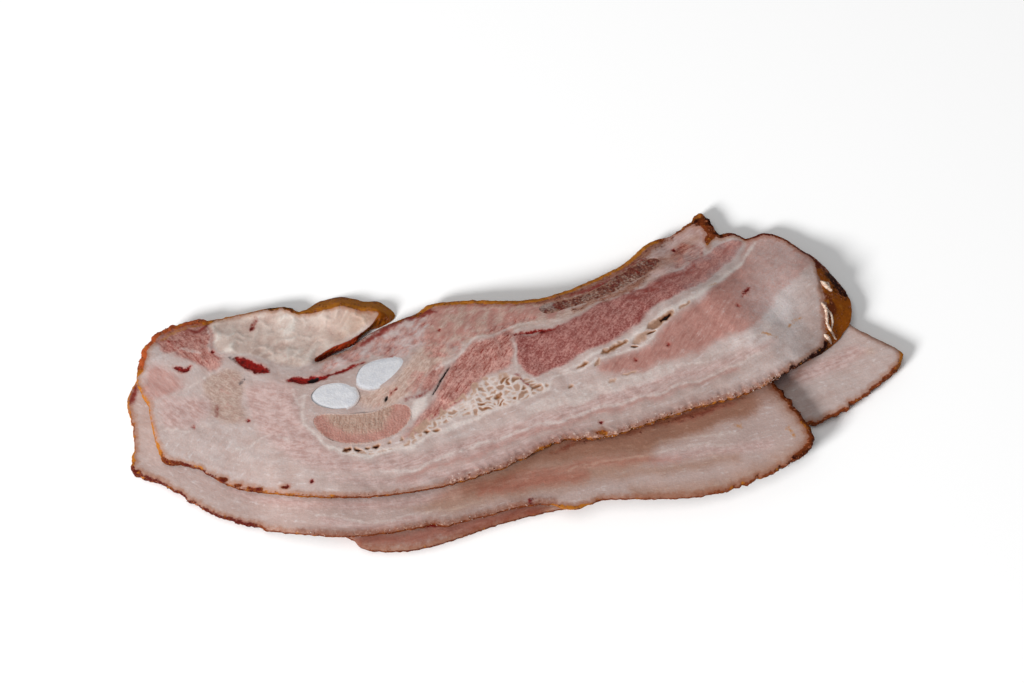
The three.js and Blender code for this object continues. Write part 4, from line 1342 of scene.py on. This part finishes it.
def shred(sheet, line, thickness, seed):
    """A rough tapering shred that lies along the line on the wall of a sheet, as points and faces in mm."""
    sides, pitch = 8, 0.35
    spine = curve_through(line, pitch, closed=False)
    skin = sheet.is_wall | sheet.is_top
    _, which = nearest(spine, sheet.place[skin])
    height = np.convolve(np.pad(sheet.height[skin][which], 2, mode="edge"), np.ones(5) / 5, "valid")
    random = np.random.default_rng(seed)
    points, faces = [], []
    for k, (spot, up) in enumerate(zip(spine, height)):
        t = k / (len(spine) - 1)
        width = thickness * (0.25 + math.sin(math.pi * t) ** 0.7) * random.uniform(0.75, 1.2)
        for side in range(sides):
            angle = 2 * math.pi * side / sides
            reach = width * random.uniform(0.8, 1.2)
            points.append((spot[0] + 0.7 * reach * math.cos(angle), spot[1] + 0.5 * reach * math.cos(angle),
                           up + 0.25 + reach * math.sin(angle)))
            if k:
                a, b = (k - 1) * sides + side, (k - 1) * sides + (side + 1) % sides
                faces.append((a, b, b + sides, a + sides))
    faces.append(tuple(range(sides))[::-1])
    faces.append(tuple(len(points) - sides + side for side in range(sides)))
    return points, faces


shred_points, shred_faces = [], []
for number, (line, thickness) in enumerate(fat_shreds):
    points, faces = shred(top, line, thickness, 70 + number)
    shred_faces += [tuple(len(shred_points) + corner for corner in face) for face in faces]
    shred_points += points
shred_mesh = bpy.data.meshes.new("fat_shreds")
shred_mesh.from_pydata((np.array(shred_points) * MM).tolist(), [], shred_faces)
outward = bmesh.new()
outward.from_mesh(shred_mesh)
bmesh.ops.recalc_face_normals(outward, faces=outward.faces)
outward.to_mesh(shred_mesh)
outward.free()
shred_mesh.shade_smooth()
shred_mesh.materials.append(crumb_finish("fat shreds", colour(226, 206, 188), colour(196, 162, 142)))
shreds = placed("fat_shreds", shred_mesh)
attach(shreds, "root")

# Table, lights and camera
# A plain pale table top, a soft light right above the slices, a second one from the near
# left that draws their shadows, and pale light all round.
reach = 3.0
corners = [(-reach, -reach, 0), (reach, -reach, 0), (reach, reach, 0), (-reach, reach, 0)]
floor_mesh = bpy.data.meshes.new("table_top")
floor_mesh.from_pydata(corners, [], [(0, 1, 2, 3)])
table_finish = Finish("table top", Base_Color=(0.87, 0.87, 0.87, 1), Roughness=0.8, Specular_IOR_Level=0.1)
floor_mesh.materials.append(table_finish.material)
floor = placed("table_top", floor_mesh)

LOOK_AT = Vector((-2.2, 17.7, 0)) * MM
CAMERA_ELEVATION = math.radians(65)
CAMERA_DISTANCE = 0.967
camera_data = bpy.data.cameras.new("camera")
camera_data.lens = 85
camera_data.sensor_width = 36
camera = placed("camera", camera_data)
to_camera = Vector((0, -math.cos(CAMERA_ELEVATION), math.sin(CAMERA_ELEVATION)))
camera.location = LOOK_AT + CAMERA_DISTANCE * to_camera
camera.rotation_euler = (LOOK_AT - camera.location).to_track_quat("-Z", "Y").to_euler()
bpy.context.scene.camera = camera


def lamp(name, place, size, energy):
    data = bpy.data.lights.new(name, "AREA")
    data.shape = "DISK"
    data.size = size
    data.energy = energy
    lamp = placed(name, data)
    lamp.location = place
    lamp.rotation_euler = (-lamp.location).to_track_quat("-Z", "Y").to_euler()


lamp("key", Vector((-0.3, -0.2, 1.65)), 1.0, 8.6)
lamp("fill", Vector((-2.84, -2.76, 2.13)), 1.3, 286.0)

ROOM_LIGHT = 0.26
world = bpy.data.worlds.new("room")
world.use_nodes = True
background = world.node_tree.nodes["Background"]
background.inputs["Color"].default_value = (1, 1, 1, 1)
background.inputs["Strength"].default_value = ROOM_LIGHT
bpy.context.scene.world = world
bpy.context.scene.view_settings.view_transform = "Standard"
